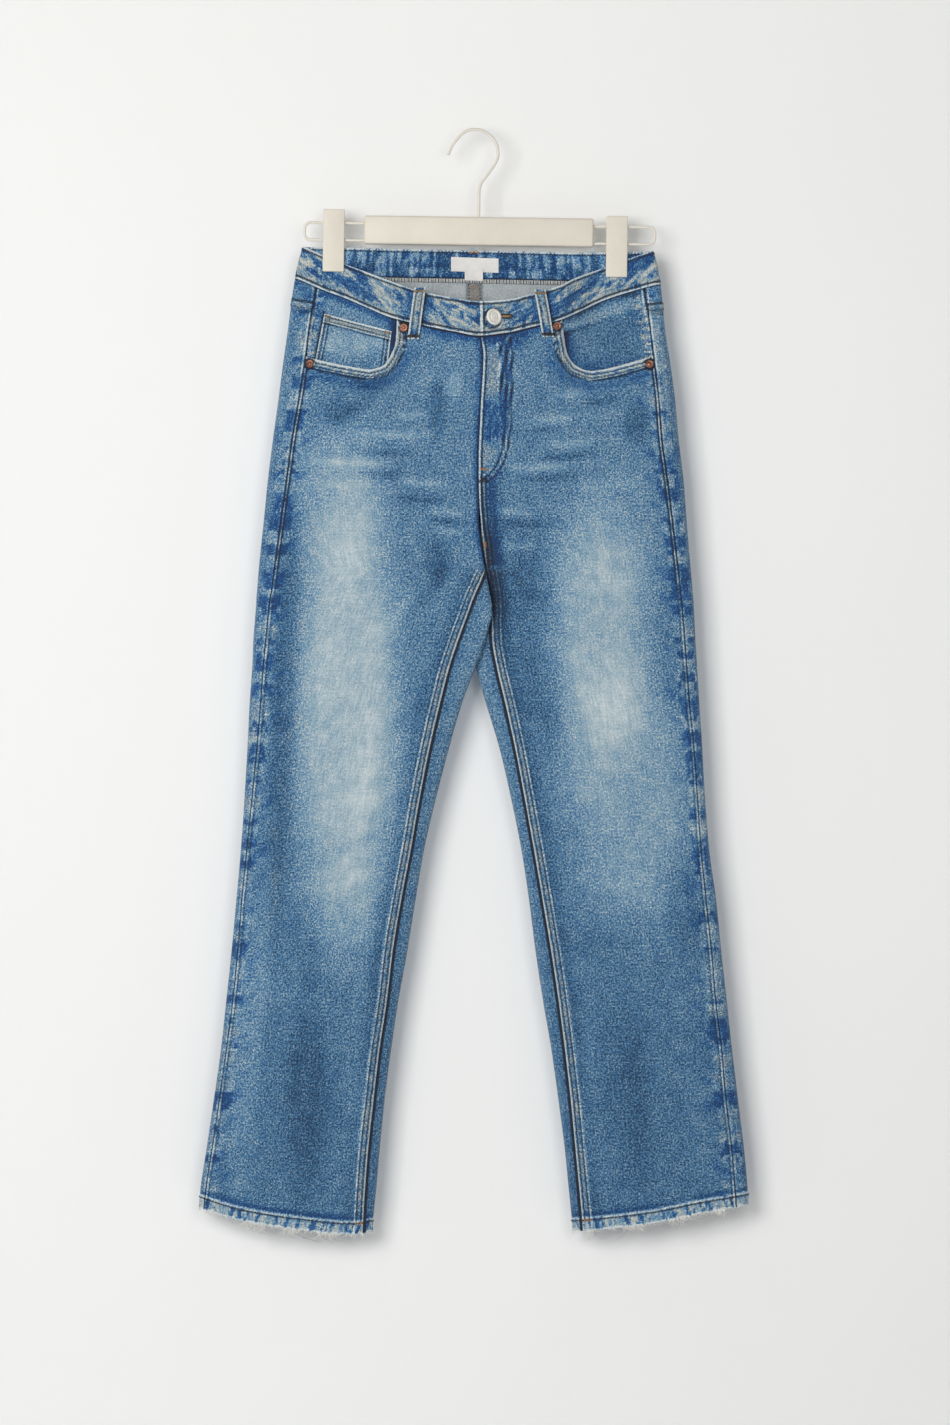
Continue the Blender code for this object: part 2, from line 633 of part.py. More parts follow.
def back_panel(side, name):
    levels = (YOKE_LEVEL, 224.0, 242.0, 260.0, 276.0) + tuple(LEG_LEVELS)
    points, normals = [], []
    for level in levels:
        start, end = back_ends(side, level)
        stations = even_stations(side, start, end, level, BACK_CELLS + 1)
        drop = np.full(len(stations), float(level))
        if level < BACK_STRAIGHT:
            rise = (BACK_STRAIGHT - level) / (BACK_STRAIGHT - YOKE_LEVEL)
            drop = BACK_STRAIGHT - rise * (BACK_STRAIGHT - yoke_seam(side, stations))
        elif level > HEM_TILT_FROM:
            drop = hem_drop(side, reach_at(side, stations, drop), level)
        stations[0] = on_front(side, side_seam(side, drop[0]), drop[0])
        if level > CROTCH:
            stations[-1] = 2.0 + on_front(side, inseam(side, drop[-1]), drop[-1])
        row, normal = shell_and_normal(side, stations, drop)
        points.append(row)
        normals.append(normal)
    points = drawn_in(np.array(points), bottom=0.0, last=crotch_gap(levels))
    extra = hem_thickness(levels, BACK_CELLS + 1)
    cloth(name, points, np.array(normals), CLOTH_WALL, BLUE, extra)


def yoke(side, name):
    start = float(on_front(side, side_seam(side, MID_BAND), MID_BAND))
    stations = even_stations(side, start, 2.0, MID_YOKE, BACK_CELLS + 1)
    top = edge_on(side, stations, 2)
    bottom = yoke_seam(side, stations)
    drops = np.array([blend(top, bottom, v) for v in (0.0, 0.5, 1.0)])
    stations = np.repeat(stations[None], 3, axis=0)
    stations[:, 0] = on_front(side, side_seam(side, drops[:, 0]), drops[:, 0])
    points, normals = shell_and_normal(side, stations, drops)
    cloth(name, drawn_in(points), normals, CLOTH_WALL, BLUE)


def waistband(side, name):
    front = even_stations(side, 0.0, 1.0, MID_BAND, 15)
    back = even_stations(side, 1.0, 2.0, MID_BAND, 12)
    stations = np.concatenate([front, back[1:]])
    top = edge_on(side, stations, 1)
    bottom = edge_on(side, stations, 2)
    drops = np.array([blend(top, bottom, v) for v in (0.0, 0.5, 1.0)])
    grid = np.repeat(stations[None], 3, axis=0)
    points, normals = shell_and_normal(side, grid, drops)
    if side == RIGHT:
        # The right end passes behind the left one, where its button is sewn
        lap = np.linspace(BUTTON_LAP, CENTRE[0][1] + 0.5, 5)
        top = monotone(FRONT_BAND, 1, lap) + 1.0
        bottom = monotone(FRONT_BAND, 2, lap) - 1.0
        drops = np.array([blend(top, bottom, v) for v in (0.0, 0.5, 1.0)])
        lap = np.repeat(lap[None], 3, axis=0)
        behind, facing = shell_and_normal(LEFT, on_front(LEFT, lap, drops), drops)
        depth = BAND_WALL + SEAM_GAP
        dive = smooth(points[..., :1], CENTRE[0][1] - LAP_DIVE, CENTRE[0][1])
        dive = dive * (grid[..., None] < 1.0)
        points = points - normals * (depth * dive)
        points = np.concatenate([behind - facing * depth, points], axis=1)
        normals = np.concatenate([facing, normals], axis=1)
    cloth(name, drawn_in(points), normals, BAND_WALL, PALE_BLUE)


def on_panel(name, side, reach, drop, wall, offset, colour, back=False):
    """A piece that lies on the front or the back, made from the points under it."""
    place = on_back if back else on_front
    points, normals = shell_and_normal(side, place(side, reach, drop), drop)
    return cloth(name, points, normals, wall, colour, 0.0, offset)


def quad_grid(corners, rows, columns):
    """Reach and drop over a four-sided patch: upper outer, upper inner, lower inner, lower outer."""
    a, b, c, d = np.array(corners, float)
    v, u = np.meshgrid(np.linspace(0, 1, rows), np.linspace(0, 1, columns), indexing="ij")
    u, v = u[..., None], v[..., None]
    grid = (1 - v) * ((1 - u) * a + u * b) + v * ((1 - u) * d + u * c)
    return grid[..., 0], grid[..., 1]


def pocket_facing(side, name):
    """The denim seen through the pocket mouth, which runs on under the front."""
    mouth = np.array(POCKET_MOUTH[side])
    share = np.linspace(0, 1, 11)
    top_drop = monotone(FRONT_BAND, 2, side * mouth[0, 0])
    inner = mouth[0, 0] - 7.0
    outer_top = side_seam(side, MID_BAND)
    top_reach = blend(outer_top, inner, share)
    top = monotone(FRONT_BAND, 2, side * top_reach)
    low_reach = blend(side_seam(side, FACING_FOOT), inner, share)
    low = np.maximum(top_drop + FACING_BELOW_MOUTH, FACING_FOOT - 6.0 * share)
    rows = np.linspace(0, 1, 9)
    reach = np.array([blend(top_reach, low_reach, v) for v in rows])
    drop = np.array([blend(top, low, v) for v in rows])
    reach[:, 0] = side_seam(side, drop[:, 0])
    points, normals = shell_and_normal(side, on_front(side, reach, drop), drop)
    room = COIN_WALL + LAYER_GAP if side == RIGHT else 0.0
    depth = CLOTH_WALL / 2 + LAYER_GAP + room + POCKET_WALL / 2
    # It lies in the seams at its top and outer edges, and under the front everywhere else
    under_top = np.maximum(smooth(rows, 0.0, 0.2)[:, None], smooth(reach, mouth[0, 0] + 14, mouth[0, 0] + 3))
    under_side = np.maximum(smooth(share, 0.0, 0.07), smooth(drop, 210.0, 222.0))
    points = points - normals * (depth * under_top * under_side)[..., None]
    cloth(name, drawn_in(points), normals, POCKET_WALL, BLUE)


def coin_pocket(name):
    """The small pocket between the right facing and the front, whose mouth hides its foot."""
    reach, drop = quad_grid(COIN_POCKET, 7, 8)
    offset = -(CLOTH_WALL / 2 + LAYER_GAP + COIN_WALL / 2)
    on_panel(name, RIGHT, reach, drop, COIN_WALL, offset, PALE_BLUE)


def back_pocket(side, name):
    share = np.linspace(-1, 1, 9)
    rows = np.linspace(0, 1, 9)
    half = BACK_POCKET_WIDTH / 2
    reach = np.array([BACK_POCKET_REACH + share * half * (1 - 0.12 * v) for v in rows])
    low = BACK_POCKET_HEIGHT - BACK_POCKET_TIP * np.abs(share)
    drop = np.array([BACK_POCKET_TOP + low * v - 5.0 * share * (1 - v) for v in rows])
    offset = CLOTH_WALL / 2 + LAYER_GAP + POCKET_WALL / 2
    on_panel(name, side, reach, drop, POCKET_WALL, offset, BLUE, back=True)


def belt_loop(name, side, top_x, top_drop, low_x, low_drop, back):
    rows = np.linspace(0, 1, 9)
    x = blend(top_x, low_x, rows)
    drop = np.repeat(blend(top_drop, low_drop, rows)[:, None], 3, axis=1)
    reach = side * (x[:, None] + np.array([-0.5, 0.0, 0.5]) * LOOP_WIDTH)
    if back:
        points, normals = shell_and_normal(side, on_back(side, np.abs(reach), drop), drop)
        points[..., 0] = side * reach
    else:
        points, normals = shell_and_normal(side, on_front(side, reach, drop), drop)
    bow = LOOP_BOW * np.sin(math.pi * rows) ** 2
    points = points + normals * bow[:, None, None]
    offset = BAND_WALL / 2 + SEAM_GAP + LOOP_WALL / 2
    cloth(name, points, normals, LOOP_WALL, PALE_BLUE, 0.0, offset)


def behind_fly():
    """The zip and, behind it, the shield, from the waistband down to the end of the J stitch."""
    pieces = (
        # name, left x, right x, top drop, low drop, wall, layers in
        ("zip", 6.0, 30.0, 209.0, 344.0, 1.0, 0),
        ("fly_shield", 6.0, 42.0, 208.5, 350.0, 1.2, 1),
    )
    for name, left, right, top, low, wall, layer in pieces:
        corners = ((left, top), (right, top), (right - FLY_FOOT_TAPER, low), (left, low))
        reach, drop = quad_grid(corners, 8, 4)
        start = inner_reach(LEFT, FRONT, drop) + SEAM_GAP
        reach = np.maximum(reach, start)
        offset = -(CLOTH_WALL / 2 + SEAM_GAP + 0.5 + layer * (1.1 + SEAM_GAP))
        on_panel(name, LEFT, reach, drop, wall, offset, DEEP_BLUE)


# ---------------------------------------------------------------- trims

def turned(name, centre, normal, profile, colour, roughness, metallic, sides=18):
    """A turned piece on an axis: the profile gives radius and height, from the top down."""
    axis = np.asarray(normal) / np.linalg.norm(normal)
    across = np.cross(axis, (0.0, 0.0, 1.0))
    across /= np.linalg.norm(across)
    up = np.cross(across, axis)
    points = [centre + axis * profile[0][1]]
    for radius, height in profile[1:-1]:
        for step in range(sides):
            turn = 2 * math.pi * step / sides
            points.append(centre + axis * height + radius * (across * math.cos(turn) + up * math.sin(turn)))
    points.append(centre + axis * profile[-1][1])
    faces = []
    rings = len(profile) - 2
    for step in range(sides):
        after = (step + 1) % sides
        faces.append((0, 1 + after, 1 + step))
        for ring in range(rings - 1):
            a = 1 + ring * sides
            faces.append((a + after, a + sides + after, a + sides + step, a + step))
        last = 1 + (rings - 1) * sides
        faces.append((last + after, len(points) - 1, last + step))
    add_mesh(name, points, faces, colour, roughness, metallic)


def trims():
    for name, side, x, drop in RIVETS:
        at = np.array([drop])
        points, normals = shell_and_normal(side, on_front(side, side * np.array([x]), at), at)
        base = points[0] + normals[0] * (CLOTH_WALL / 2 + SEAM_GAP)
        turned(name, base, normals[0], RIVET_PROFILE, COPPER, 0.35, 1.0, 14)
    at = np.array([BUTTON_DROP])
    points, normals = shell_and_normal(LEFT, on_front(LEFT, np.array([BUTTON_X]), at), at)
    base = points[0] + normals[0] * (BAND_WALL / 2 + SEAM_GAP)
    turned("button", base, normals[0], BUTTON_PROFILE, PEWTER, 0.35, 1.0, 18)


def labels():
    """The woven label and the small tab below it, on the inside of the back waistband."""
    pieces = (
        # name, left x, right x, top drop, low drop, layer
        ("waist_label", -23.0, 24.6, 126.5, 140.8, 0),
        ("size_tab", -9.3, 9.0, 137.5, 149.6, 1),
    )
    for name, left, right, top, low, layer in pieces:
        x, drop = np.meshgrid(np.linspace(left, right, 7), np.linspace(top, low, 3))
        drop = drop + 0.035 * x
        points = shell(LEFT, on_back(LEFT, np.abs(x), drop), drop)
        points[..., 0] = x
        normals = np.zeros(points.shape)
        normals[..., 1] = 1.0
        offset = -(BAND_WALL / 2 + SEAM_GAP + LABEL_WALL / 2 + layer * (LABEL_WALL + SEAM_GAP))
        cloth(name, points, normals, LABEL_WALL, WHITE, 0.0, offset)


# ---------------------------------------------------------------- hanger

def tilted(points):
    """Places on the hanger, turned by the small tilt at which it hangs."""
    points = np.asarray(points, float)
    cosine, sine = math.cos(HANGER_TILT), math.sin(HANGER_TILT)
    x, z = points[..., 0], points[..., 2] + BAR["top"]
    return np.stack([x * cosine + z * sine, points[..., 1], z * cosine - x * sine - BAR["top"]], axis=-1)


def rod(name, route, diameter, colour, roughness, metallic, resolution=2):
    """A bent wire: a smooth curve with round ends filled."""
    curve = bpy.data.curves.new(name, "CURVE")
    curve.dimensions = "3D"
    curve.bevel_depth = diameter / 2 * MM
    curve.bevel_resolution = resolution
    curve.use_fill_caps = True
    spline = curve.splines.new("POLY")
    spline.points.add(len(route) - 1)
    for point, place in zip(spline.points, np.asarray(route) * MM):
        point.co = (*place, 1.0)
    made = bpy.data.objects.new(name, curve)
    made.data.materials.append(material(name, colour, roughness, metallic))
    bpy.context.scene.collection.objects.link(made)
    return made


def smooth_route(route, count):
    route = np.asarray(route, float)
    steps = np.arange(len(route))
    fine = np.linspace(0, len(route) - 1, 400)
    rows = [monotone(np.stack([steps, route[:, i]], axis=1), 1, fine) for i in range(route.shape[1])]
    return along(np.stack(rows, axis=1), count)


def plate(name, outline, low_x, high_x, colour, bevel):
    """A side profile in y and drop, drawn out along x."""
    count = len(outline)
    points = [(x, y, -drop) for x in (low_x, high_x) for y, drop in outline]
    faces = [tuple(range(count - 1, -1, -1)), tuple(range(count, 2 * count))]
    for here in range(count):
        there = (here + 1) % count
        faces.append((here, there, there + count, here + count))
    made = add_mesh(name, tilted(points), faces, colour, 0.5)
    rounding = made.modifiers.new("edges", "BEVEL")
    rounding.width = bevel * MM
    rounding.segments = 2
    rounding.limit_method = "ANGLE"
    return made


def hanger():
    depth = BAR["depth"] / 2
    low = BAR["top"] + BAR["height"]
    outline = ((-depth, BAR["top"]), (depth, BAR["top"]), (depth, low), (-depth, low))
    plate("hanger_bar", outline[::-1], BAR["left"], BAR["right"], CREAM, 1.6)
    hook = smooth_route(HOOK_ROUTE, 44)
    hook = np.stack([hook[:, 0], np.zeros(len(hook)), -hook[:, 1]], axis=1)
    hook[0] = tilted([hook[0]])[0] + np.array([0.0, 0.0, HOOK_WIRE * 0.2])
    rod("hanger_hook", hook, HOOK_WIRE, CREAM, 0.4, 0.0)
    for side, name in ((RIGHT, "hanger_loop_right"), (LEFT, "hanger_loop_left")):
        start = (BAR["left"] if side == RIGHT else BAR["right"]) + side * SEAM_GAP
        end = side * WIRE_LOOP["reach"][side]
        corner = WIRE_LOOP["corner"]
        upper, lower = WIRE_LOOP["upper"], WIRE_LOOP["lower"]
        turn = np.linspace(0, math.pi / 2, 6)
        route = [(start, 0.0, -upper)]
        for step in turn:
            x = end - side * corner * (1 - math.sin(step))
            route.append((x, 0.0, -(upper + corner * (1 - math.cos(step)))))
        for step in turn:
            x = end - side * corner * (1 - math.cos(step))
            route.append((x, 0.0, -(lower - corner * (1 - math.sin(step)))))
        route.append((start, 0.0, -lower))
        rod(name, tilted(route), WIRE, CREAM, 0.4, 0.0)
        clip(side)


def clip(side):
    """Two plates that straddle the wires and grip the waistband."""
    word = "right" if side == RIGHT else "left"
    top, low, step = (80.5, 143.0, 114.0) if side == RIGHT else (83.4, 144.6, 114.0)
    centre = CLIP_CENTRE[side]
    near = WIRE / 2 + SEAM_GAP
    grip = GRIP_DEPTH + BAND_WALL / 2 + SEAM_GAP
    far = grip + CLIP_WALL
    profile = ((near, top), (far, top), (far, low), (grip, low), (grip, step + 1.5), (near, step))
    low_x, high_x = centre - CLIP_WIDTH / 2, centre + CLIP_WIDTH / 2
    plate(f"clip_{word}_back", profile[::-1], low_x, high_x, CREAM, 0.7)
    plate(f"clip_{word}_front", [(-y, drop) for y, drop in profile], low_x, high_x, CREAM, 0.7)


# ---------------------------------------------------------------- the whole part

def main():
    for old in list(bpy.data.objects):
        bpy.data.objects.remove(old, do_unlink=True)
    for side, word in ((RIGHT, "right"), (LEFT, "left")):
        front_panel(side, f"front_panel_{word}")
        back_panel(side, f"back_panel_{word}")
        yoke(side, f"yoke_{word}")
        waistband(side, f"waistband_{word}")
        pocket_facing(side, f"pocket_facing_{word}")
        back_pocket(side, f"back_pocket_{word}")
    coin_pocket("coin_pocket")
    behind_fly()
    for name, side, top_x, top_drop, low_x, low_drop in FRONT_LOOPS:
        belt_loop(name, side, top_x, top_drop, low_x, low_drop, False)
    for name, side, top_x, top_drop, low_x, low_drop in BACK_LOOPS:
        belt_loop(name, side, top_x, top_drop, low_x, low_drop, True)
    trims()
    labels()
    hanger()


main()
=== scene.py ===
"""Looks of the straight cropped jeans: cloth, sewing, wear, trims, hanger, camera and light.

Millimetres inside the functions, metres in the meshes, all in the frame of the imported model.
The origin is the inside top of the hanger's hook, +X is to the wearer's left, +Y is towards
the wall, and +Z is up. Heights are drops below the origin, and a reach is a distance from the
hook's centre line towards the wearer's own side, so one formula serves both halves.
"""
import math

import bpy
import numpy as np
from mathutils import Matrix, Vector
from mathutils.bvhtree import BVHTree


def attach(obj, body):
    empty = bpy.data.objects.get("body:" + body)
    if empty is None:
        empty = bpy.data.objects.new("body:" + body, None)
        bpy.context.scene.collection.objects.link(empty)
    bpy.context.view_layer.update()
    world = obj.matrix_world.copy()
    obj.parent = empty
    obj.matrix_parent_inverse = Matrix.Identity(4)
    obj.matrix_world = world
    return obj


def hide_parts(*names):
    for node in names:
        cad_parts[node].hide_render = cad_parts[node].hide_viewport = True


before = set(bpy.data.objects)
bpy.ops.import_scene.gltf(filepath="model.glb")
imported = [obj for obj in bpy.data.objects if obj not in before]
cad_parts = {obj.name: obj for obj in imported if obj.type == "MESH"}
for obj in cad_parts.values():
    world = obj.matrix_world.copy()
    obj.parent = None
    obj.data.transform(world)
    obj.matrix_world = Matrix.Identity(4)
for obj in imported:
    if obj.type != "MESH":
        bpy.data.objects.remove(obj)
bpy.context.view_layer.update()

MM = 0.001
RIGHT = -1  # the wearer's right side, at -X
LEFT = 1
FRONT = -1  # the face away from the wall
BACK = 1
WORD = {RIGHT: "right", LEFT: "left"}

# Cloth and seams
CLOTH_WALL = 1.2
BAND_WALL = 2.2
POCKET_WALL = 1.2
COIN_WALL = 1.0
LABEL_WALL = 0.7
LOOP_WALL = 1.5
LOOP_WIDTH = 11.5
LOOP_BOW = 1.4
HEM_TURN = 12.0
HEM_EXTRA = 1.3
SEAM_GAP = 0.3
LAYER_GAP = 0.45
CROTCH_GAP = 0.5
TWIST_REACH = 5.0  # how far above and below the crotch the panels stand further apart
TWIST_BELOW = 3.0

# Heights, as drops below the inside of the hook
OPENING_ENDS = 395.0
CROTCH = 438.0
HEM_LEVEL = 1104.0
HEM_TILT_FROM = 950.0
PANEL_STRAIGHT = 290.0
BACK_STRAIGHT = 330.0
YOKE_LEVEL = 207.0
MID_BAND = 160.0
MID_YOKE = 170.0
FACING_FOOT = 256.0
FACING_BELOW_MOUTH = 40.0
ABOVE_HEM = HEM_LEVEL - HEM_TURN - 1  # where the rows beside the long seams end

# Form of the body, its front lap and its fly
ROUNDNESS = 2.8  # exponent of the flattened rings that the legs make
FOLD_SHARPNESS = 16  # how late the gripped cloth closes into its fold beside a clip
CENTRE_CLEARANCE = 0.8
CLEARANCE_FROM = 370.0
BUTTON_LAP = 40.0
LAP_DIVE = 9.0
FLY_FOOT_TAPER = 8.0
SETTLE_ROUNDS = 5  # to find a seam whose place depends on its own height

# Hanger
CLIP_CENTRE = {RIGHT: -140.2, LEFT: 143.4}
CLIP_HALF_FLAT = 14.0
CLIP_FADE = 62.0
CLIP_GRIP_END = 150.0
CLIP_GRIP_FADE = 265.0
CLIP_WIDTH = 21.5
CLIP_WALL = 2.4
CLIP_HEIGHTS = {RIGHT: (80.5, 143.0, 114.0), LEFT: (83.4, 144.6, 114.0)}  # top, foot, step
GRIP_DEPTH = 1.25
WIRE = 3.0
HOOK_WIRE = 3.2
BAR = {"left": -110.0, "right": 120.0, "top": 86.2, "height": 28.6, "depth": 11.0}
WIRE_LOOP = {"upper": 94.0, "lower": 111.2, "reach": {RIGHT: 169.6, LEFT: 181.4}, "corner": 6.0}
HANGER_TILT = math.atan2(4.9, 351.0)  # the left end of the hanger hangs a little lower

# Hook: x and drop of the wire's middle, from the bar up and round to the free end
HOOK_ROUTE = (
    (4.6, 86.6), (4.8, 74), (5, 61), (6.7, 53), (10.9, 46.8), (17.2, 38.3), (22, 30.6), (24.2, 23.6),
    (23.5, 16.6), (20, 9), (13.7, 2.5), (6, -1.2), (0, -1.65), (-4, -1.2), (-10.8, 1.8), (-17.2, 8.2),
    (-22.8, 16), (-25.6, 23),
)

# Each half of the garment, level by level: drop, then the reach of the outer fold, of the
# side seam on the front, of the inseam on the front and of the inner fold
SECTIONS = {
    RIGHT: (
        (116, 171, 157, -5, -5), (155, 180, 158.5, -5, -5), (200, 186, 165.5, -8, -8),
        (235, 191, 169.5, -8, -8), (270, 195.5, 175, -7, -7), (310, 201, 182, -5, -5),
        (350, 206, 187.5, -5, -5), (390, 210, 193, -6, -6), (438, 215, 199.5, -11.7, -11.7),
        (448, 215.8, 200.6, -8.5, -12.6), (460, 216.8, 202, -3.2, -15), (470, 217.5, 204, 1, -17),
        (480, 218.2, 205, 4.6, -17.7), (510, 220.5, 208, 15.5, -10.5), (536, 221.5, 210.5, 24.2, -1.6),
        (570, 224, 213, 33, 11.5), (620, 226.5, 217, 44.7, 26), (670, 229.5, 222, 54.5, 39),
        (720, 233, 227, 63.2, 50.5), (770, 237.5, 232, 72.7, 59), (820, 242.2, 236, 81, 67),
        (870, 247.5, 241, 87, 76), (920, 253, 247.5, 94.5, 83.5), (970, 260, 254.5, 100.5, 90),
        (1020, 267.5, 262, 106, 95), (1060, 273.5, 268, 109, 98.5), (1104, 277, 271.5, 111.5, 103),
    ),
    LEFT: (
        (116, 178, 169, 5, 5), (155, 186.5, 170.8, 5, 5), (200, 191, 177, 8, 8), (235, 196.5, 181, 8, 8),
        (270, 201, 184.8, 7, 7), (310, 204.6, 188, 5, 5), (350, 209.5, 193.5, 5, 5),
        (390, 212.5, 198.5, 6, 6), (438, 216.5, 204, 13.3, 13.3), (448, 217.5, 205, 14.8, 13.1),
        (460, 218.5, 206.2, 16.5, 8), (470, 219.3, 207.2, 17.4, 0), (480, 219.9, 208.2, 17.8, -6),
        (490, 220.4, 209, 17.6, -9), (510, 221.3, 210.5, 18.2, -6.5), (536, 223, 212.5, 22.5, 1.6),
        (570, 225, 215, 30.5, 11.5), (620, 228.3, 220, 41.5, 26.5), (670, 231, 223.5, 51, 38),
        (720, 235.2, 227, 60, 48), (770, 242, 232, 68.6, 55.6), (820, 247, 237.3, 77, 62),
        (870, 252.5, 241.5, 84.5, 69.5), (920, 258, 247.5, 91, 78), (970, 264, 252, 96.8, 85),
        (1020, 270, 257.8, 101.6, 91.5), (1060, 273.5, 261, 105.5, 95.5), (1104, 275.5, 264, 109.5, 100),
    ),
}

# How far the cloth stands off the middle plane: drop, then front and back, each at the
# outer half and at the inner end, then how far the inner end is shifted in y, right and left
DEPTHS = (
    (116, 15, 23, 6.5, 7, 0, 0), (160, 18, 25, 8, 8, 0, 0), (200, 20, 25, 10, 9.5, 0, 0),
    (270, 20.5, 22.5, 14, 15, 0, 0), (350, 20, 20, 18, 20, -0.5, -0.5),
    (390, 19.5, 17.5, 19, 18, -2.5, -2.5), (438, 19, 9, 19, 9, -6, -6), (448, 19, 8, 19, 8, -9.2, -1.5),
    (460, 18.8, 7.5, 18.8, 7.5, -12.6, 0.8), (480, 18.5, 7, 18.5, 7, -14, 1.8),
    (510, 18.2, 7.5, 18.2, 7.5, -12.5, 1.5), (560, 18, 10.5, 18, 10.5, -7, 0.5),
    (630, 18, 14, 18, 14, -1, 0), (700, 17.5, 15, 17.5, 15, 0, 0), (900, 16, 14, 16, 14, 0, 0),
    (1104, 14.5, 13, 14.5, 13, 0, 0),
)

# Centre line of the seat: drop, then x at the front (the fly's edge) and at the back
CENTRE = (
    (116, 5, 0), (205, 6.4, 1), (225, 9.2, 1.5), (276, 6.6, 2.5), (335, 4.3, 4.5), (390, 5.6, 7.5),
    (412, 8.2, 10), (438, 12.5, 12.5),
)

# Waistband on the front: x, then the drops of its upper edge and of its lower seam
FRONT_BAND = (
    (-186, 112, 144.5), (-171, 116, 150.7), (-152, 124, 159), (-128, 133.7, 168), (-110, 140.7, 176),
    (-82, 152, 188.3), (-59, 160.3, 194), (-19, 168.8, 202.4), (5, 172, 206.4), (33, 170.4, 203.4),
    (58, 164.5, 197.5), (86, 156, 190.5), (100, 148.6, 184.3), (131, 136.7, 169.5), (155, 128, 161.5),
    (177, 120.5, 155.6), (192, 116, 152.5),
)

# Waistband and yoke on the back: x, then the drops of the band's two edges and of the yoke's seam
BACK_TOP = (
    (-186, 115, 147, 166), (-171, 116, 148.5, 168.5), (-114, 117, 150, 181), (0, 119, 152, 209),
    (60, 120.3, 153.3, 197), (120, 121.6, 154.6, 184), (178, 120.5, 155.6, 171.5), (192, 119.5, 155, 170.5),
)
YOKE_AT_SIDE_SEAM = {RIGHT: 171.0, LEFT: 173.0}

# Pocket mouths: reach and drop, from the waistband's seam round to the side seam
POCKET_MOUTH = {
    RIGHT: (
        (77, 190.2), (78.2, 212), (83.2, 226), (90.5, 236), (104.2, 240), (126.7, 236.4), (147.7, 232),
        (169.5, 226.5),
    ),
    LEFT: (
        (88, 190), (89.7, 205.6), (93.4, 224.7), (102, 236.4), (116.8, 241.6), (137.4, 238.2), (159.4, 232),
        (180.4, 225.8),
    ),
}

# Lower edges of the legs: reach, drop
HEMS = {
    RIGHT: (
        (100, 1101.5), (121, 1104.4), (180, 1099), (235, 1090), (277, 1078),
    ),
    LEFT: (
        (98, 1102), (121, 1100), (176, 1093.4), (233, 1082.4), (276, 1075.5),
    ),
}

# The largest folds by side and face, as soft ridges (out) or troughs (in): from reach and drop,
# to reach and drop, half width, height
FOLDS = {
    (RIGHT, FRONT): (
        (40, 300, 170, 268, 9, 1.6), (20, 345, 160, 322, 10, -1.6), (25, 372, 185, 362, 10, 1.5),
        (35, 540, 150, 640, 18, -1.6), (95, 760, 190, 700, 20, -1.5), (190, 930, 230, 1060, 14, 1.8),
    ),
    (RIGHT, BACK): (
        (40, 420, 170, 380, 12, -2), (45, 460, 180, 440, 12, 1.8), (100, 700, 200, 660, 16, -1.8),
    ),
    (LEFT, FRONT): (
        (50, 302, 175, 272, 9, 1.5), (30, 350, 170, 326, 10, -1.6), (30, 380, 190, 366, 10, 1.4),
        (50, 520, 160, 610, 18, -1.6), (80, 740, 190, 790, 20, -1.5), (150, 930, 200, 1080, 15, 1.6),
    ),
    (LEFT, BACK): (
        (40, 415, 170, 385, 12, -2), (45, 455, 180, 445, 12, 1.8), (95, 690, 200, 670, 16, -1.8),
    ),
}

# Belt loops: name, side, x and drop of the top, x and drop of the foot
FRONT_LOOPS = (
    ("loop_front_right", RIGHT, -53.5, 158.5, -60.5, 210),
    ("loop_front_left", LEFT, 65.5, 160.5, 74, 208),
)
BACK_LOOPS = (
    ("loop_back_right", RIGHT, -118, 115.5, -119, 160.5),
    ("loop_back_centre", LEFT, 0, 116.5, 0, 162),
    ("loop_back_left", LEFT, 119, 119, 120, 165),
)

# Rivets at the pocket corners: name, side, x, drop
RIVETS = (
    ("rivet_right_inner", RIGHT, -70.2, 198.2),
    ("rivet_right_outer", RIGHT, -164.1, 234),
    ("rivet_left_inner", LEFT, 83, 196.6),
    ("rivet_left_outer", LEFT, 175.2, 234.2),
)
BUTTON_X = 18.5
BUTTON_DROP = 188.6
HOLE_X = 24.5
HOLE_DROP = 187.2
HOLE_LENGTH = 13.0
ZIP_X = 21.0
ZIP_TOP = 214.0
ZIP_FOOT = 338.0
TOOTH_PITCH = 2.2

# Reach and drop of the corners: upper outer, upper inner, lower inner, lower outer
COIN_POCKET = (
    (149.8, 182.8), (82.6, 201.8), (88, 249), (160.5, 240),
)

BACK_POCKET_WIDTH = 132.0
BACK_POCKET_TOP = 228.0
BACK_POCKET_HEIGHT = 138.0
BACK_POCKET_TIP = 18.0
BACK_POCKET_REACH = 84.0

# Rows of the fly's J: x and drop
J_STITCH = (
    (36.4, 208), (37.6, 222), (37.8, 262), (36.6, 300), (33.2, 322), (29, 334.5), (21, 346), (13, 352),
    (6, 352.6),
)
J_SHIFT = 5.4  # how far its second row lies from the first

# Where the hems are most frayed: x from, x to
HEM_TUFTS = {
    RIGHT: (
        (-229, -208), (-191, -174), (-158, -138), (-112, -106),
    ),
    LEFT: (
        (112, 120), (150, 168), (196, 214), (238, 250),
    ),
}


# ---------------------------------------------------------------- small numeric helpers

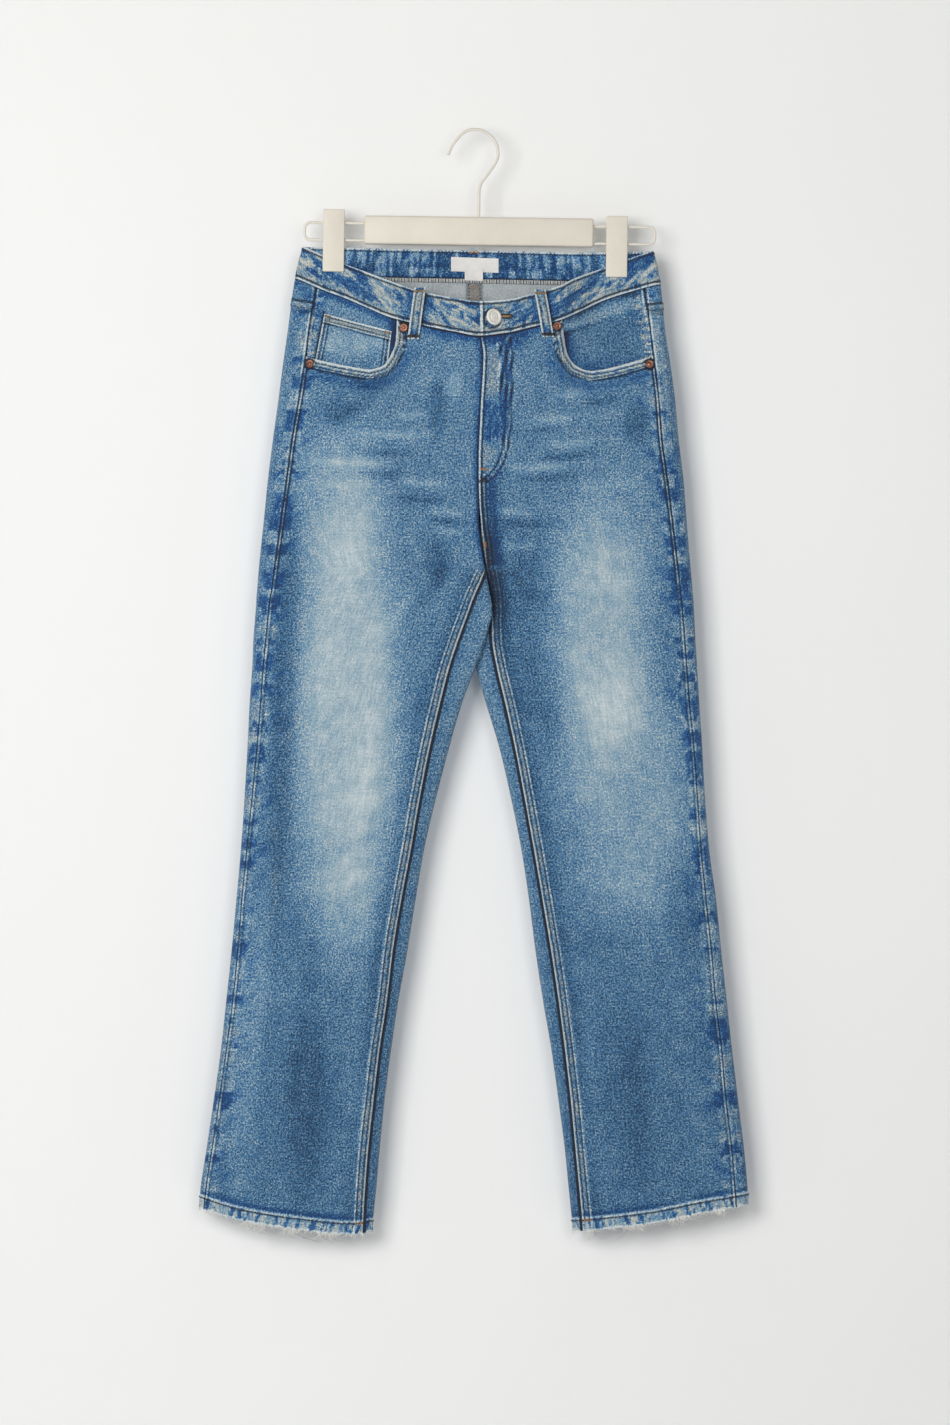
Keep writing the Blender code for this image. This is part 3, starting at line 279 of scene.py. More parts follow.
def monotone(rows, column, at):
    """Smooth interpolation in a table that never overshoots its rows."""
    table = np.array(rows, float)
    x, y = table[:, 0], table[:, column]
    step = np.diff(x)
    slope = np.diff(y) / step
    tangent = np.zeros(len(x))
    tangent[0], tangent[-1] = slope[0], slope[-1]
    same = slope[1:] * slope[:-1] > 0
    weight_a = 2 * step[1:] + step[:-1]
    weight_b = step[1:] + 2 * step[:-1]
    with np.errstate(divide="ignore", invalid="ignore"):
        mean = (weight_a + weight_b) / (weight_a / slope[:-1] + weight_b / slope[1:])
    tangent[1:-1] = np.where(same, mean, 0.0)
    at = np.clip(np.asarray(at, float), x[0], x[-1])
    cell = np.clip(np.searchsorted(x, at, side="right") - 1, 0, len(x) - 2)
    h = step[cell]
    s = (at - x[cell]) / h
    keep = (1 + 2 * s) * (1 - s) ** 2 * y[cell] + s * s * (3 - 2 * s) * y[cell + 1]
    return keep + h * (s * (1 - s) ** 2 * tangent[cell] + s * s * (s - 1) * tangent[cell + 1])


def smooth(value, low=0.0, high=1.0):
    """0 below low, 1 above high, eased between."""
    s = np.clip((np.asarray(value, float) - low) / (high - low), 0.0, 1.0)
    return s * s * (3 - 2 * s)


def blend(a, b, weight):
    return a + (b - a) * weight


def plateau(distance, start, end, soft=0.9):
    """1 between start and end, falling to 0 over a soft edge outside them."""
    return smooth(distance, start - soft, start) * smooth(distance, end + soft, end)


def ridge(distance, middle, half):
    return np.exp(-(((distance - middle) / half) ** 2))


def unit(vectors):
    return vectors / np.maximum(np.linalg.norm(vectors, axis=-1, keepdims=True), 1e-9)


def noise(x, y, seed):
    """Smooth noise from -1 to 1 with features about one unit wide."""
    lattice = np.random.default_rng(seed).uniform(-1, 1, (NOISE_CELLS, NOISE_CELLS))
    x, y = np.broadcast_arrays(np.asarray(x, float), np.asarray(y, float))
    column, row = np.floor(x).astype(int), np.floor(y).astype(int)
    u, v = smooth(x - column), smooth(y - row)
    left, right = column % NOISE_CELLS, (column + 1) % NOISE_CELLS
    low, high = row % NOISE_CELLS, (row + 1) % NOISE_CELLS
    upper = blend(lattice[low, left], lattice[low, right], u)
    lower = blend(lattice[high, left], lattice[high, right], u)
    return blend(upper, lower, v)


def spaced(length, step, fine, fine_first=0.0, fine_last=0.0):
    """Shares from 0 to 1 along a length: fine steps near the ends, wider ones between."""
    first = np.arange(0.0, fine_first, fine)
    last = length - np.arange(0.0, fine_last, fine)[::-1] if fine_last else np.array([length])
    count = max(2, int(round((last[0] - fine_first) / step)) + 1)
    middle = np.linspace(fine_first, last[0], count)
    return np.concatenate([first, middle[:-1], last]) / length


def gone_along(route):
    """Distance from the start of a polyline to each of its points."""
    return np.concatenate([[0.0], np.cumsum(np.linalg.norm(np.diff(route, axis=0), axis=1))])


def picked(at, gone, field):
    """Rows of a field, interpolated at given distances."""
    return np.stack([np.interp(at, gone, field[:, i]) for i in range(field.shape[1])], axis=1)


def along(route, count):
    """Points at even distances along a polyline."""
    route = np.asarray(route, float)
    gone = gone_along(route)
    return picked(np.linspace(0.0, gone[-1], count), gone, route)


def curve(rows, count):
    """A smooth curve through the rows of a table."""
    rows = np.array(rows, float)
    steps = np.arange(len(rows))
    fine = np.linspace(0, len(rows) - 1, count)
    columns = [monotone(np.stack([steps, column], axis=1), 1, fine) for column in rows.T]
    return np.stack(columns, axis=1)


def from_path(x, drop, path):
    """How far places lie from a polyline of x and drop."""
    near = np.full(np.shape(drop), 1e9)
    for (x0, d0), (x1, d1) in zip(path[:-1], path[1:]):
        length = math.hypot(x1 - x0, d1 - d0)
        run = np.clip(((x - x0) * (x1 - x0) + (drop - d0) * (d1 - d0)) / length**2, 0, 1)
        near = np.minimum(near, np.hypot(x - x0 - run * (x1 - x0), drop - d0 - run * (d1 - d0)))
    return near


def lines_of(table, side, face, reach, drop, column, soft, core, sag=0.0):
    """Sum of one column of the folds or the creases of one half, at given places."""
    total = np.zeros(np.broadcast(reach, drop).shape)
    for here in (FRONT, BACK):
        for row in table[side, here]:
            r0, d0, r1, d1, width = row[:5]
            length = math.hypot(r1 - r0, d1 - d0)
            run = ((reach - r0) * (r1 - r0) + (drop - d0) * (d1 - d0)) / length**2
            off = ((reach - r0) * (d1 - d0) - (drop - d0) * (r1 - r0)) / length
            if sag:
                off = off + sag * width * np.sin(math.pi * np.clip(run, 0, 1))
            taper = smooth(run, -soft, core) * smooth(run, 1 + soft, 1 - core)
            total = total + np.where(face == here, row[column] * taper * np.exp(-((off / width) ** 2)), 0)
    return total


# ---------------------------------------------------------------- the cloth's middle surface

def outer_reach(side, drop):
    return monotone(SECTIONS[side], 1, drop)


def side_seam(side, drop):
    return monotone(SECTIONS[side], 2, drop)


def inner_reach(side, face, drop):
    """Reach of the centre line above the crotch, and of the leg's inner fold below it."""
    centre = np.where(face == FRONT, monotone(CENTRE, 1, drop), monotone(CENTRE, 2, drop))
    clearance = CENTRE_CLEARANCE * smooth(drop, CLEARANCE_FROM, OPENING_ENDS)
    return np.where(drop < CROTCH, side * centre + clearance, monotone(SECTIONS[side], 4, drop))


def inseam(side, drop):
    return np.where(drop < CROTCH, inner_reach(side, FRONT, drop), monotone(SECTIONS[side], 3, drop))


def shell(side, station, drop):
    """Middle surface of one half. Stations run round its ring: 0 is the centre front or the
    inner fold, 1 the outer fold, 2 the centre back or the inner fold again."""
    drop = np.asarray(drop, float)
    turn = math.pi * np.asarray(station, float)
    cosine, sine = np.cos(turn), np.sin(turn)
    face = np.where(sine >= 0, FRONT, BACK)
    across = -np.sign(cosine) * np.abs(cosine) ** (2 / ROUNDNESS)
    bulge = np.abs(sine) ** (2 / ROUNDNESS)
    inner = inner_reach(side, face, drop)
    outer = outer_reach(side, drop)
    reach = inner + (outer - inner) * (across + 1) / 2
    closing = np.clip((drop - OPENING_ENDS) / (CROTCH - OPENING_ENDS), 0, 1)
    opening = np.sqrt(1 - closing**2)
    rounded = np.where(across < 0, opening + (1 - opening) * bulge, bulge)
    outer_depth = np.where(face == FRONT, monotone(DEPTHS, 1, drop), monotone(DEPTHS, 3, drop))
    inner_depth = np.where(face == FRONT, monotone(DEPTHS, 2, drop), monotone(DEPTHS, 4, drop))
    depth = blend(inner_depth, outer_depth, smooth(across, -1.0, 0.1)) * rounded
    depth = depth + lines_of(FOLDS, side, face, reach, drop, 5, 0.15, 0.3) * np.minimum(rounded, 1)
    off_clip = np.abs(side * reach - CLIP_CENTRE[side])
    pinch = smooth(off_clip, CLIP_FADE, CLIP_HALF_FLAT) * smooth(drop, CLIP_GRIP_FADE, CLIP_GRIP_END)
    fold_tip = np.sqrt(1 - np.clip(across, 0, 1) ** FOLD_SHARPNESS)
    depth = depth * (1 - pinch) + GRIP_DEPTH * pinch * fold_tip
    shift = monotone(DEPTHS, 5 if side == RIGHT else 6, drop) * smooth(-across, 0.0, 1.0)
    return np.stack([side * reach, shift + face * depth, -drop], axis=-1)


def on_front(side, reach, drop, face=FRONT):
    """Station of a place on the front, given by its reach."""
    inner = inner_reach(side, face, drop)
    across = np.clip(2 * (reach - inner) / (outer_reach(side, drop) - inner) - 1, -1, 1)
    return np.arccos(np.clip(-np.sign(across) * np.abs(across) ** (ROUNDNESS / 2), -1, 1)) / math.pi


def on_back(side, reach, drop):
    return 2 - on_front(side, reach, drop, BACK)


def at_side_seam(side, drop):
    return on_front(side, side_seam(side, drop), drop)


def reach_at(side, station, drop):
    return side * shell(side, station, drop)[..., 0]


def shell_and_normal(side, station, drop):
    """Points with their outward normals. Above the crotch the ring is open at its two ends."""
    small = 0.004
    low = np.where((drop < CROTCH) & (station >= 0) & (station < small), station, station - small)
    high = np.where((drop < CROTCH) & (station > 2 - small), station, station + small)
    run = shell(side, high, drop) - shell(side, low, drop)
    fall = shell(side, station, drop + 0.5) - shell(side, station, drop - 0.5)
    normal = np.cross(fall, run) * side
    normal /= np.linalg.norm(normal, axis=-1, keepdims=True)
    return shell(side, station, drop), normal


# ---------------------------------------------------------------- levels of the panels

def hem_drop(side, reach, level):
    """Rows of the leg tilt into the line of the hem below HEM_TILT_FROM."""
    hem = monotone(HEMS[side], 1, reach)
    share = np.clip((level - HEM_TILT_FROM) / (HEM_LEVEL - HEM_TILT_FROM), 0, None)
    return np.where(level > HEM_TILT_FROM, HEM_TILT_FROM + share * (hem - HEM_TILT_FROM), level)


def edge_on(side, station, column):
    """Drop of one of the waistband's edges at a station: column 1 is the upper, 2 the lower."""
    drop = np.full(np.shape(station), MID_BAND)
    for _ in range(SETTLE_ROUNDS):
        x = side * reach_at(side, station, drop)
        front, back = (monotone(table, column, x) for table in (FRONT_BAND, BACK_TOP))
        drop = np.where(np.asarray(station) <= 1.0, front, back)
    return drop


def yoke_seam(side, station):
    """Drop of the yoke's seam, which wraps onto the front as far as the side seam."""
    station = np.asarray(station, float)
    at_seam = YOKE_AT_SIDE_SEAM[side]
    start = at_side_seam(side, at_seam)
    at_fold = monotone(BACK_TOP, 3, side * outer_reach(side, MID_YOKE))
    front = blend(at_seam, at_fold, np.clip((station - start) / (1 - start), 0, 1))
    drop = np.full(np.shape(station), MID_YOKE)
    for _ in range(SETTLE_ROUNDS):
        drop = monotone(BACK_TOP, 3, side * reach_at(side, np.maximum(station, 1.0), drop))
    return np.where(station <= 1.0, front, drop)


def even_stations(side, start, end, level, count):
    """Stations spaced by distance and by how much the ring turns, so that folds stay round."""
    fine = np.linspace(start, end, 161)
    points = shell(side, fine, np.full(161, float(level)))
    step = np.diff(points[:, :2], axis=0)
    heading = np.unwrap(np.arctan2(step[:, 1], step[:, 0]))
    turning = np.abs(np.diff(heading, prepend=heading[0]))
    cost = np.concatenate([[0.0], np.cumsum(np.linalg.norm(step, axis=1) + 16.0 * turning)])
    return np.interp(np.linspace(0, cost[-1], count), cost, fine)


# ---------------------------------------------------------------- scene tables

NOISE_CELLS = 256
PLACE_STEP = 517.0  # how far apart the pieces lie in the cloth's pattern
PLACE_CELLS = 11
INNER_PLACE = 40.0  # how far the inner face lies from the outer one in the pattern
CREASE_SAG = 0.35
ROW_STEP = 2.8
COLUMN_STEP = 2.7
BACK_COLUMN_STEP = 2.9
FRONT_SPAN = 190.0  # about how wide or long each piece is, to space its rows and columns
BACK_SPAN = 262.0
YOKE_SPAN = 74.0
BAND_SPAN = 33.0
LOOP_SPAN = 52.0
HEM_FINE_FROM = HEM_LEVEL - 17.0
SHARP_CLOTH = math.radians(55)  # edges with a wider angle are drawn sharp
SHARP_METAL = math.radians(50)
MOUTH_SHARE = 0.36  # where the pocket mouth starts along a front's upper edge
OUTSEAM_PITCH = 10.5
INSEAM_BAND = 9.5
MOUTH_FOLD = 9.0
BAND_SLANT = 0.3
GRAIN = 0.43  # how strongly the weave shows as pale and dark specks
COIN_HEM = 8.0
COIN_SIDE = 6.5
POCKET_HEM = 15.0
POCKET_SIDE = 8.0

# Cut pieces: two sides of the cloth they are cut from, and the area they take of it, in metres
FRONT_CUT = (0.235, 0.960, 0.175)
BACK_CUT = (0.310, 0.970, 0.238)
YOKE_CUT = (0.235, 0.075, 0.0100)
BAND_CUT = {RIGHT: (0.425, 0.038, 0.0150), LEFT: (0.395, 0.038, 0.0140)}
FACING_CUT = (0.115, 0.110, 0.0098)
COIN_CUT = (0.090, 0.070, 0.0050)
BACK_POCKET_CUT = (0.150, 0.165, 0.0195)
LOOP_CUT = (0.0125, 0.056, 0.00065)
FLY_CUT = ((0.028, 0.150, 0.0032), (0.050, 0.155, 0.0055))
LABEL_CUT = ((0.056, 0.0155, 0.00082), (0.0195, 0.0135, 0.00025))

# Creases by side and face, as soft ridges (out) or troughs (in): from reach and drop, to reach
# and drop, half width, height, and what each does to the wash
CREASES = {
    (RIGHT, FRONT): (
        (40, 284, 84, 286, 3.6, 0.8, 0.2), (38, 306, 126, 302, 4, 1, 0.22),
        (56, 324, 128, 320, 3.4, -0.9, -0.2), (82, 333, 170, 330, 4.2, 1, 0.2),
        (70, 345, 114, 343, 3.4, -0.8, -0.2), (26, 354, 80, 350, 3.8, 0.9, 0.24),
        (20, 371, 84, 366, 3.8, -0.9, -0.2), (10, 384, 46, 379, 3.2, 0.8, 0.2),
        (8, 393, 50, 388, 3, -0.8, -0.22), (10, 403, 40, 398, 3.4, 0.7, 0.18),
        (90, 356, 172, 352, 5, 0.6, 0.1), (96, 262, 150, 292, 6, -0.6, -0.12),
        (30, 232, 66, 262, 5, 0.6, 0.1), (24, 430, 60, 480, 7, -0.9, -0.14),
        (52, 455, 110, 520, 9, 0.9, 0.08), (40, 560, 96, 610, 9, -0.8, -0.08),
        (70, 650, 120, 674, 12, 0.5, 0.03), (82, 700, 170, 726, 9, -0.8, -0.08),
        (110, 745, 214, 758, 10, 0.7, 0.06), (92, 826, 190, 800, 11, -0.7, -0.07),
        (130, 880, 226, 846, 12, 0.7, 0.07), (112, 930, 118, 1070, 9, 0.8, 0.1),
        (150, 910, 166, 1078, 13, -0.9, -0.1), (214, 960, 250, 1070, 8, -0.8, -0.06),
    ),
    (RIGHT, BACK): (
        (20, 398, 120, 372, 6, -1, -0.14), (26, 424, 150, 410, 7, 1, 0.12),
        (40, 452, 140, 470, 8, -0.9, -0.1), (60, 640, 190, 620, 9, 0.9, 0.12),
        (70, 664, 180, 676, 7, -1, -0.16), (84, 690, 214, 676, 8, 0.9, 0.12),
        (80, 716, 170, 730, 7, -0.9, -0.14), (120, 850, 150, 1060, 12, 0.8, 0.08),
    ),
    (LEFT, FRONT): (
        (80, 266, 114, 262, 3.8, 0.8, 0.22), (108, 274, 146, 268, 3.6, -0.8, -0.2),
        (58, 291, 108, 285, 4, 0.9, 0.22), (56, 301, 80, 298, 3, -0.8, -0.2),
        (74, 315, 130, 309, 4, 1, 0.22), (60, 329, 128, 323, 3.4, -0.9, -0.2),
        (36, 338, 102, 334, 4, 0.9, 0.24), (44, 350, 110, 344, 3.4, -0.9, -0.2),
        (18, 378, 58, 384, 3.8, 0.9, 0.22), (14, 392, 84, 394, 3.8, -0.9, -0.22),
        (24, 417, 64, 415, 3.6, 0.8, 0.2), (96, 360, 178, 348, 5, 0.6, 0.1),
        (34, 440, 80, 476, 7, -0.9, -0.12), (46, 486, 112, 530, 9, 0.8, 0.06),
        (40, 566, 96, 600, 9, -0.8, -0.08), (70, 640, 150, 672, 10, 0.8, 0.07),
        (70, 690, 150, 716, 9, -0.8, -0.08), (100, 742, 210, 770, 11, 0.7, 0.07),
        (86, 820, 180, 800, 11, -0.7, -0.07), (110, 905, 122, 1072, 10, 0.8, 0.08),
        (160, 890, 176, 1078, 13, -0.9, -0.1), (214, 940, 244, 1060, 9, 0.7, 0.06),
    ),
    (LEFT, BACK): (
        (18, 394, 110, 376, 6, -1, -0.14), (30, 420, 160, 412, 7, 1, 0.12),
        (44, 450, 128, 462, 8, -0.9, -0.1), (66, 648, 180, 624, 9, 0.9, 0.12),
        (60, 672, 190, 668, 7, -1, -0.16), (90, 700, 206, 690, 8, 0.9, 0.12),
        (84, 724, 160, 742, 7, -0.9, -0.14), (124, 860, 146, 1062, 12, 0.8, 0.08),
    ),
}

# How washed out the cloth is before the fades: drop, front, back
WASH_LEVELS = (
    (100, 0.42, 0.42), (300, 0.39, 0.44), (430, 0.375, 0.42), (560, 0.365, 0.42), (760, 0.335, 0.4),
    (850, 0.315, 0.36), (930, 0.285, 0.33), (1110, 0.295, 0.33),
)

# Soft ellipses of fade, or of darker cloth where the strength is below 0, by side and face;
# among them is the painted shade of a fold beside the right front's side seam: reach, drop,
# half reach, half drop, lean, strength
FADES = {
    (RIGHT, FRONT): (
        (128, 575, 56, 240, 0.03, 0.43), (88, 670, 44, 130, 0.05, 0.09), (138, 370, 54, 86, 0, 0.15),
        # the first ellipse on the next line is the painted shade of a soft fold beside the side seam
        (190, 560, 15, 260, 0.03, -0.16), (128, 782, 36, 74, 0.02, 0.13), (105, 252, 22, 12, 0, -0.16),
        (135, 283, 22, 16, 0, -0.14), (36, 278, 11, 34, 0, -0.16), (20, 255, 10, 16, 0, 0.16),
        (36, 432, 15, 26, 0, -0.18), (170, 955, 20, 130, 0.06, -0.13), (114, 920, 16, 160, 0.03, 0.05),
        (226, 920, 18, 170, 0.08, 0.15),
    ),
    (RIGHT, BACK): (
        (96, 320, 60, 90, 0, 0.16), (120, 540, 50, 150, 0.04, 0.22), (150, 800, 40, 120, 0.05, 0.14),
        (40, 460, 40, 50, 0.1, -0.1),
    ),
    (LEFT, FRONT): (
        (123, 505, 58, 138, 0.04, 0.33), (156, 666, 72, 140, 0.05, 0.26), (150, 400, 50, 90, 0, 0.1),
        (162, 294, 14, 24, 0, -0.18), (62, 500, 34, 110, 0.12, -0.14), (208, 770, 22, 60, 0.1, -0.09),
        (150, 960, 28, 130, 0.06, -0.06),
    ),
    (LEFT, BACK): (
        (94, 324, 60, 88, 0, 0.15), (118, 550, 52, 150, 0.04, 0.22), (152, 790, 40, 120, 0.05, 0.13),
        (42, 462, 40, 50, 0.1, -0.1),
    ),
}


# ---------------------------------------------------------------- patches of cloth

LAYERS = ("tone", "rub", "ink", "sand", "mottle", "reverse")
# What each field of a patch starts from; bend and tone come from the creases and the wash,
# which also paints the shade of a fold
FIELDS = {
    "swell": 0, "rub": 0, "ink": 0, "sand": 0, "mottle": 0, "reverse": 0, "inner_tone": 0.5, "inner_rub": 0,
    "inner_ink": 0, "inner_sand": 0, "inner_mottle": 0, "inner_reverse": 1, "inner_extra": 0,
}


class Patch:
    """A grid of cloth on one half: its places, its distances from its edges, its wear and its painted shade.

    bend moves the whole cloth outwards, swell only its outer face. tone runs from 0, unworn
    indigo, to 1, washed pale, and is lowered where shade is painted. rub is worn thread. Dark
    lines at seams and edges, most of them painted shade in a groove or beside a raised edge,
    and some wider painted shade, go into a field of their own. sand is a beige cast, or below 0
    the full blue of unworn cloth. mottle is small patches, upright above 0 and level below it.
    """

    def __init__(self, side, station, drop, face=None):
        self.side = side
        station, drop = np.broadcast_arrays(station, drop)
        self.drop = np.array(drop)
        self.points, self.normals = shell_and_normal(side, station, drop)
        self.face = np.where(station > 1, BACK, FRONT) if face is None else np.full(drop.shape, face)
        self.measure()
        self.bend = lines_of(CREASES, side, self.face, self.reach, self.drop, 5, 0.12, 0.35, CREASE_SAG)
        self.tone = wash_and_shade(side, self.face, self.reach, self.drop)
        for field, value in FIELDS.items():
            setattr(self, field, np.full(self.drop.shape, float(value)))
        self.twist = ()

    def measure(self):
        across = np.linalg.norm(np.diff(self.points, axis=1), axis=-1)
        down = np.linalg.norm(np.diff(self.points, axis=0), axis=-1)
        self.first = np.pad(np.cumsum(across, axis=1), ((0, 0), (1, 0)))
        self.last = self.first[:, -1:] - self.first
        self.top = np.pad(np.cumsum(down, axis=0), ((1, 0), (0, 0)))
        self.bottom = self.top[-1:] - self.top
        self.edge = np.minimum(self.first, self.last)
        self.down = self.drop.copy()
        self.across = self.first - self.first[:, :1]
        self.reach = self.side * self.points[..., 0]

    def cast(self, sand, weight):
        """Draws the cast towards a value: beige above 0, the full blue below it."""
        self.sand = blend(self.sand, sand, weight)

    def bleach(self, tone, weight):
        """Draws the tone towards a value."""
        self.tone = blend(self.tone, tone, weight)

    def marble(self, strength, along, across, seed, dark=0.34, pale=0.2, level=0.1):
        """Patches of unworn indigo between abraded ones, as along a washed seam."""
        cells = noise(along, across, seed) + 0.45 * noise(2.3 * along, 2.3 * across, seed + 1)
        deep = smooth(cells, level, level + 0.3)
        self.tone += strength * (pale - (pale + dark) * deep)
        self.cast(0.9 - 1.9 * deep, np.clip(strength, 0, 1))

    def pucker(self, strength, along, seed, height=0.45):
        """Small waves across a seam, where its thread draws the cloth together."""
        wave = noise(along, 0.5, seed)
        self.bend += strength * height * wave
        self.tone += strength * 0.10 * wave

    def close(self, name, wall, material, node, cut, rests, offset=0.0, held="hung", slot="denim"):
        """Makes the solid piece, with its attributes, and keeps its outer face for the sewing."""
        points = self.points.copy() if offset else drawn_in(self.points, SEAM_GAP / 6)
        for edge, inside in self.twist:
            way = unit(points[:, inside] - points[:, edge])
            points[:, edge] += way * crotch_gap(self.drop[:, edge])[:, None]
        lift = (self.bend + offset)[..., None] * self.normals
        self.outer = points + lift + self.normals * (wall / 2 + self.swell)[..., None]
        self.inner = points + lift - self.normals * (wall / 2 + self.inner_extra)[..., None]
        self.facing = grid_normals(self.outer, self.normals)
        self.inner_facing = grid_normals(self.inner, -self.normals)
        rows, columns = self.drop.shape
        both = np.concatenate([self.outer.reshape(-1, 3), self.inner.reshape(-1, 3)])
        made = add_mesh(name, both, shell_faces(rows, columns, self.side_turn()), material)
        made.data.set_sharp_from_angle(angle=SHARP_CLOTH)
        for label in LAYERS:
            values = np.concatenate([getattr(self, label).ravel(), getattr(self, "inner_" + label).ravel()])
            layer = made.data.attributes.new(label, "FLOAT", "POINT")
            layer.data.foreach_set("value", values.astype(np.float32))
        across = self.across + PLACE_STEP * (hash_of(name) % PLACE_CELLS)
        place = np.stack([across, self.down, 0 * across], axis=-1).reshape(-1, 3)
        place = np.concatenate([place, place + (0.0, 0.0, INNER_PLACE)]).astype(np.float32)
        made.data.attributes.new("place", "FLOAT_VECTOR", "POINT").data.foreach_set("vector", place.ravel())
        bake_map(made.data, rows, columns)
        own(made, slot, node)
        return self

    def side_turn(self):
        turn = np.cross(self.points[1, 1] - self.points[0, 0], self.points[0, 1] - self.points[1, 0])
        return np.dot(turn, self.normals[0, 0] + self.normals[1, 1]) > 0

    def line(self, edge, distance, low=-1e9, high=1e9, inside=False):
        """Points and normals on one face at one distance from an edge: first, last, top or
        bottom, kept where low < drop < high."""
        measure = getattr(self, edge)
        shown = (self.inner, self.inner_facing) if inside else (self.outer, self.facing)
        field = np.concatenate(shown, axis=-1)
        if edge in ("top", "bottom"):
            measure, field = measure.T, field.transpose(1, 0, 2)
        if edge in ("last", "bottom"):
            measure, field = measure[:, ::-1], field[:, ::-1]
        found = []
        for here, values in zip(measure, field):
            if distance <= here[-1]:
                found.append([np.interp(distance, here, values[:, i]) for i in range(6)])
        found = np.array(found).reshape(-1, 6)
        kept = found[(-found[:, 2] > low) & (-found[:, 2] < high)]
        return kept[:, :3], kept[:, 3:]


def hash_of(name):
    return sum((index + 1) * ord(letter) for index, letter in enumerate(name))


def grid_normals(points, toward):
    normal = unit(np.cross(np.gradient(points, axis=0), np.gradient(points, axis=1)))
    return normal * np.where(np.sum(normal * toward, axis=-1, keepdims=True) < 0, -1, 1)


def crotch_gap(drop):
    """The four panels meet in a twist at the crotch, so they stand a little further apart there."""
    return CROTCH_GAP * ridge(drop, CROTCH + TWIST_BELOW, TWIST_REACH)


def drawn_in(points, gap):
    """A grid whose four edges are moved inwards by a small gap."""
    points = points.copy()
    whole = slice(None)
    edges = ((0, 1), (-1, -2), ((whole, 0), (whole, 1)), ((whole, -1), (whole, -2)))
    for edge, inside in edges:
        way = points[inside] - points[edge]
        points[edge] += way / np.maximum(np.linalg.norm(way, axis=-1, keepdims=True), 1e-6) * gap
    return points


def shell_faces(rows, columns, reverse):
    """Quads of a grid's outer face, its inner face and the border between them."""
    count = rows * columns
    index = np.arange(count).reshape(rows, columns)
    a, b = index[:-1, :-1].ravel(), index[:-1, 1:].ravel()
    c, d = index[1:, 1:].ravel(), index[1:, :-1].ravel()
    border = np.concatenate([index[0, :-1], index[:-1, -1], index[-1, :0:-1], index[:0:-1, 0]])
    after = np.roll(border, -1)
    faces = np.concatenate([
        np.stack([a, b, c, d], axis=1),
        np.stack([d, c, b, a], axis=1) + count,
        np.stack([border + count, after + count, after, border], axis=1),
    ])
    return faces[:, ::-1] if reverse else faces


def bake_map(mesh, rows, columns):
    """A plain map for baking: the outer face on the left, the inner one beside it, then the border."""
    count = rows * columns
    corner = np.zeros(len(mesh.loops), int)
    mesh.loops.foreach_get("vertex_index", corner)
    face = corner.reshape(-1, 4)
    vertex = corner % count
    across = (vertex % columns) / (columns - 1)
    down = (vertex // columns) / (rows - 1)
    kind = np.repeat((face >= count).sum(axis=1), 4)
    border = (kind != 0) & (kind != 4)
    step = np.repeat(np.arange(len(face)) / len(face), 4)
    u = np.where(kind == 0, 0.02 + 0.76 * across, 0.80 + 0.18 * across)
    u = np.where(border, 0.985 + 0.015 * (corner >= count), u)
    v = np.where(border, 0.02 + 0.96 * step, 0.02 + 0.96 * (1 - down))
    layer = mesh.uv_layers.new(name="OFBake")
    layer.data.foreach_set("uv", np.stack([u, v], axis=1).astype(np.float32).ravel())


def simple_map(made):
    """A map for baking on a piece made of many small ones: each face gets its own cell."""
    mesh = made.data
    total = np.zeros(len(mesh.polygons), int)
    mesh.polygons.foreach_get("loop_total", total)
    cells = int(math.ceil(math.sqrt(len(total))))
    face = np.repeat(np.arange(len(total)), total)
    corner = np.arange(len(face)) - np.repeat(np.cumsum(total) - total, total)
    u = (face % cells + 0.1 + 0.8 * np.isin(corner, (1, 2))) / cells
    v = (face // cells + 0.1 + 0.8 * (corner >= 2)) / cells
    layer = mesh.uv_layers.new(name="OFBake")
    layer.data.foreach_set("uv", np.stack([u, v], axis=1).astype(np.float32).ravel())


def add_mesh(name, points, faces, material):
    mesh = bpy.data.meshes.new(name)
    faces = faces.tolist() if isinstance(faces, np.ndarray) else faces
    mesh.from_pydata((np.asarray(points) * MM).tolist(), [], faces)
    mesh.shade_smooth()
    mesh.materials.append(material)
    made = bpy.data.objects.new(name, mesh)
    bpy.context.scene.collection.objects.link(made)
    return made


def own(made, slot, *nodes):
    """Puts a piece on the root, with a map for baking if it has none, and hides the nodes it stands for.
    slot, its finish, is not used.
    """
    if "OFBake" not in made.data.uv_layers:
        simple_map(made)
    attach(made, "root")
    if nodes:
        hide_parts(*nodes)
    return made


def wash_and_shade(side, face, reach, drop):
    """How far the cloth is washed out, from soft ellipses and a few broad levels; one of the darker ellipses
    paints the shade of a fold.
    """
    tone = np.where(face == BACK, monotone(WASH_LEVELS, 2, drop), monotone(WASH_LEVELS, 1, drop))
    for here in (FRONT, BACK):
        for r, d, half_r, half_d, lean, strength in FADES[side, here]:
            across = (reach - r - lean * (drop - d)) / half_r
            amount = strength * smooth(np.hypot(across, (drop - d) / half_d), 1.25, 0.42)
            tone = tone + np.where(face == here, amount, 0)
    tone += lines_of(CREASES, side, face, reach, drop, 6, 0.12, 0.35, CREASE_SAG)
    return tone + 0.025 * noise(reach / 23.0, drop / 31.0, 5 + side)


# ---------------------------------------------------------------- the legs

def quad_grid(corners, rows, columns):
    """Reach and drop over a four-sided patch: upper outer, upper inner, lower inner, lower outer."""
    a, b, c, d = np.array(corners, float)
    v, u = np.meshgrid(np.linspace(0, 1, rows), np.linspace(0, 1, columns), indexing="ij")
    u, v = u[..., None], v[..., None]
    grid = (1 - v) * ((1 - u) * a + u * b) + v * ((1 - u) * d + u * c)
    return grid[..., 0], grid[..., 1]


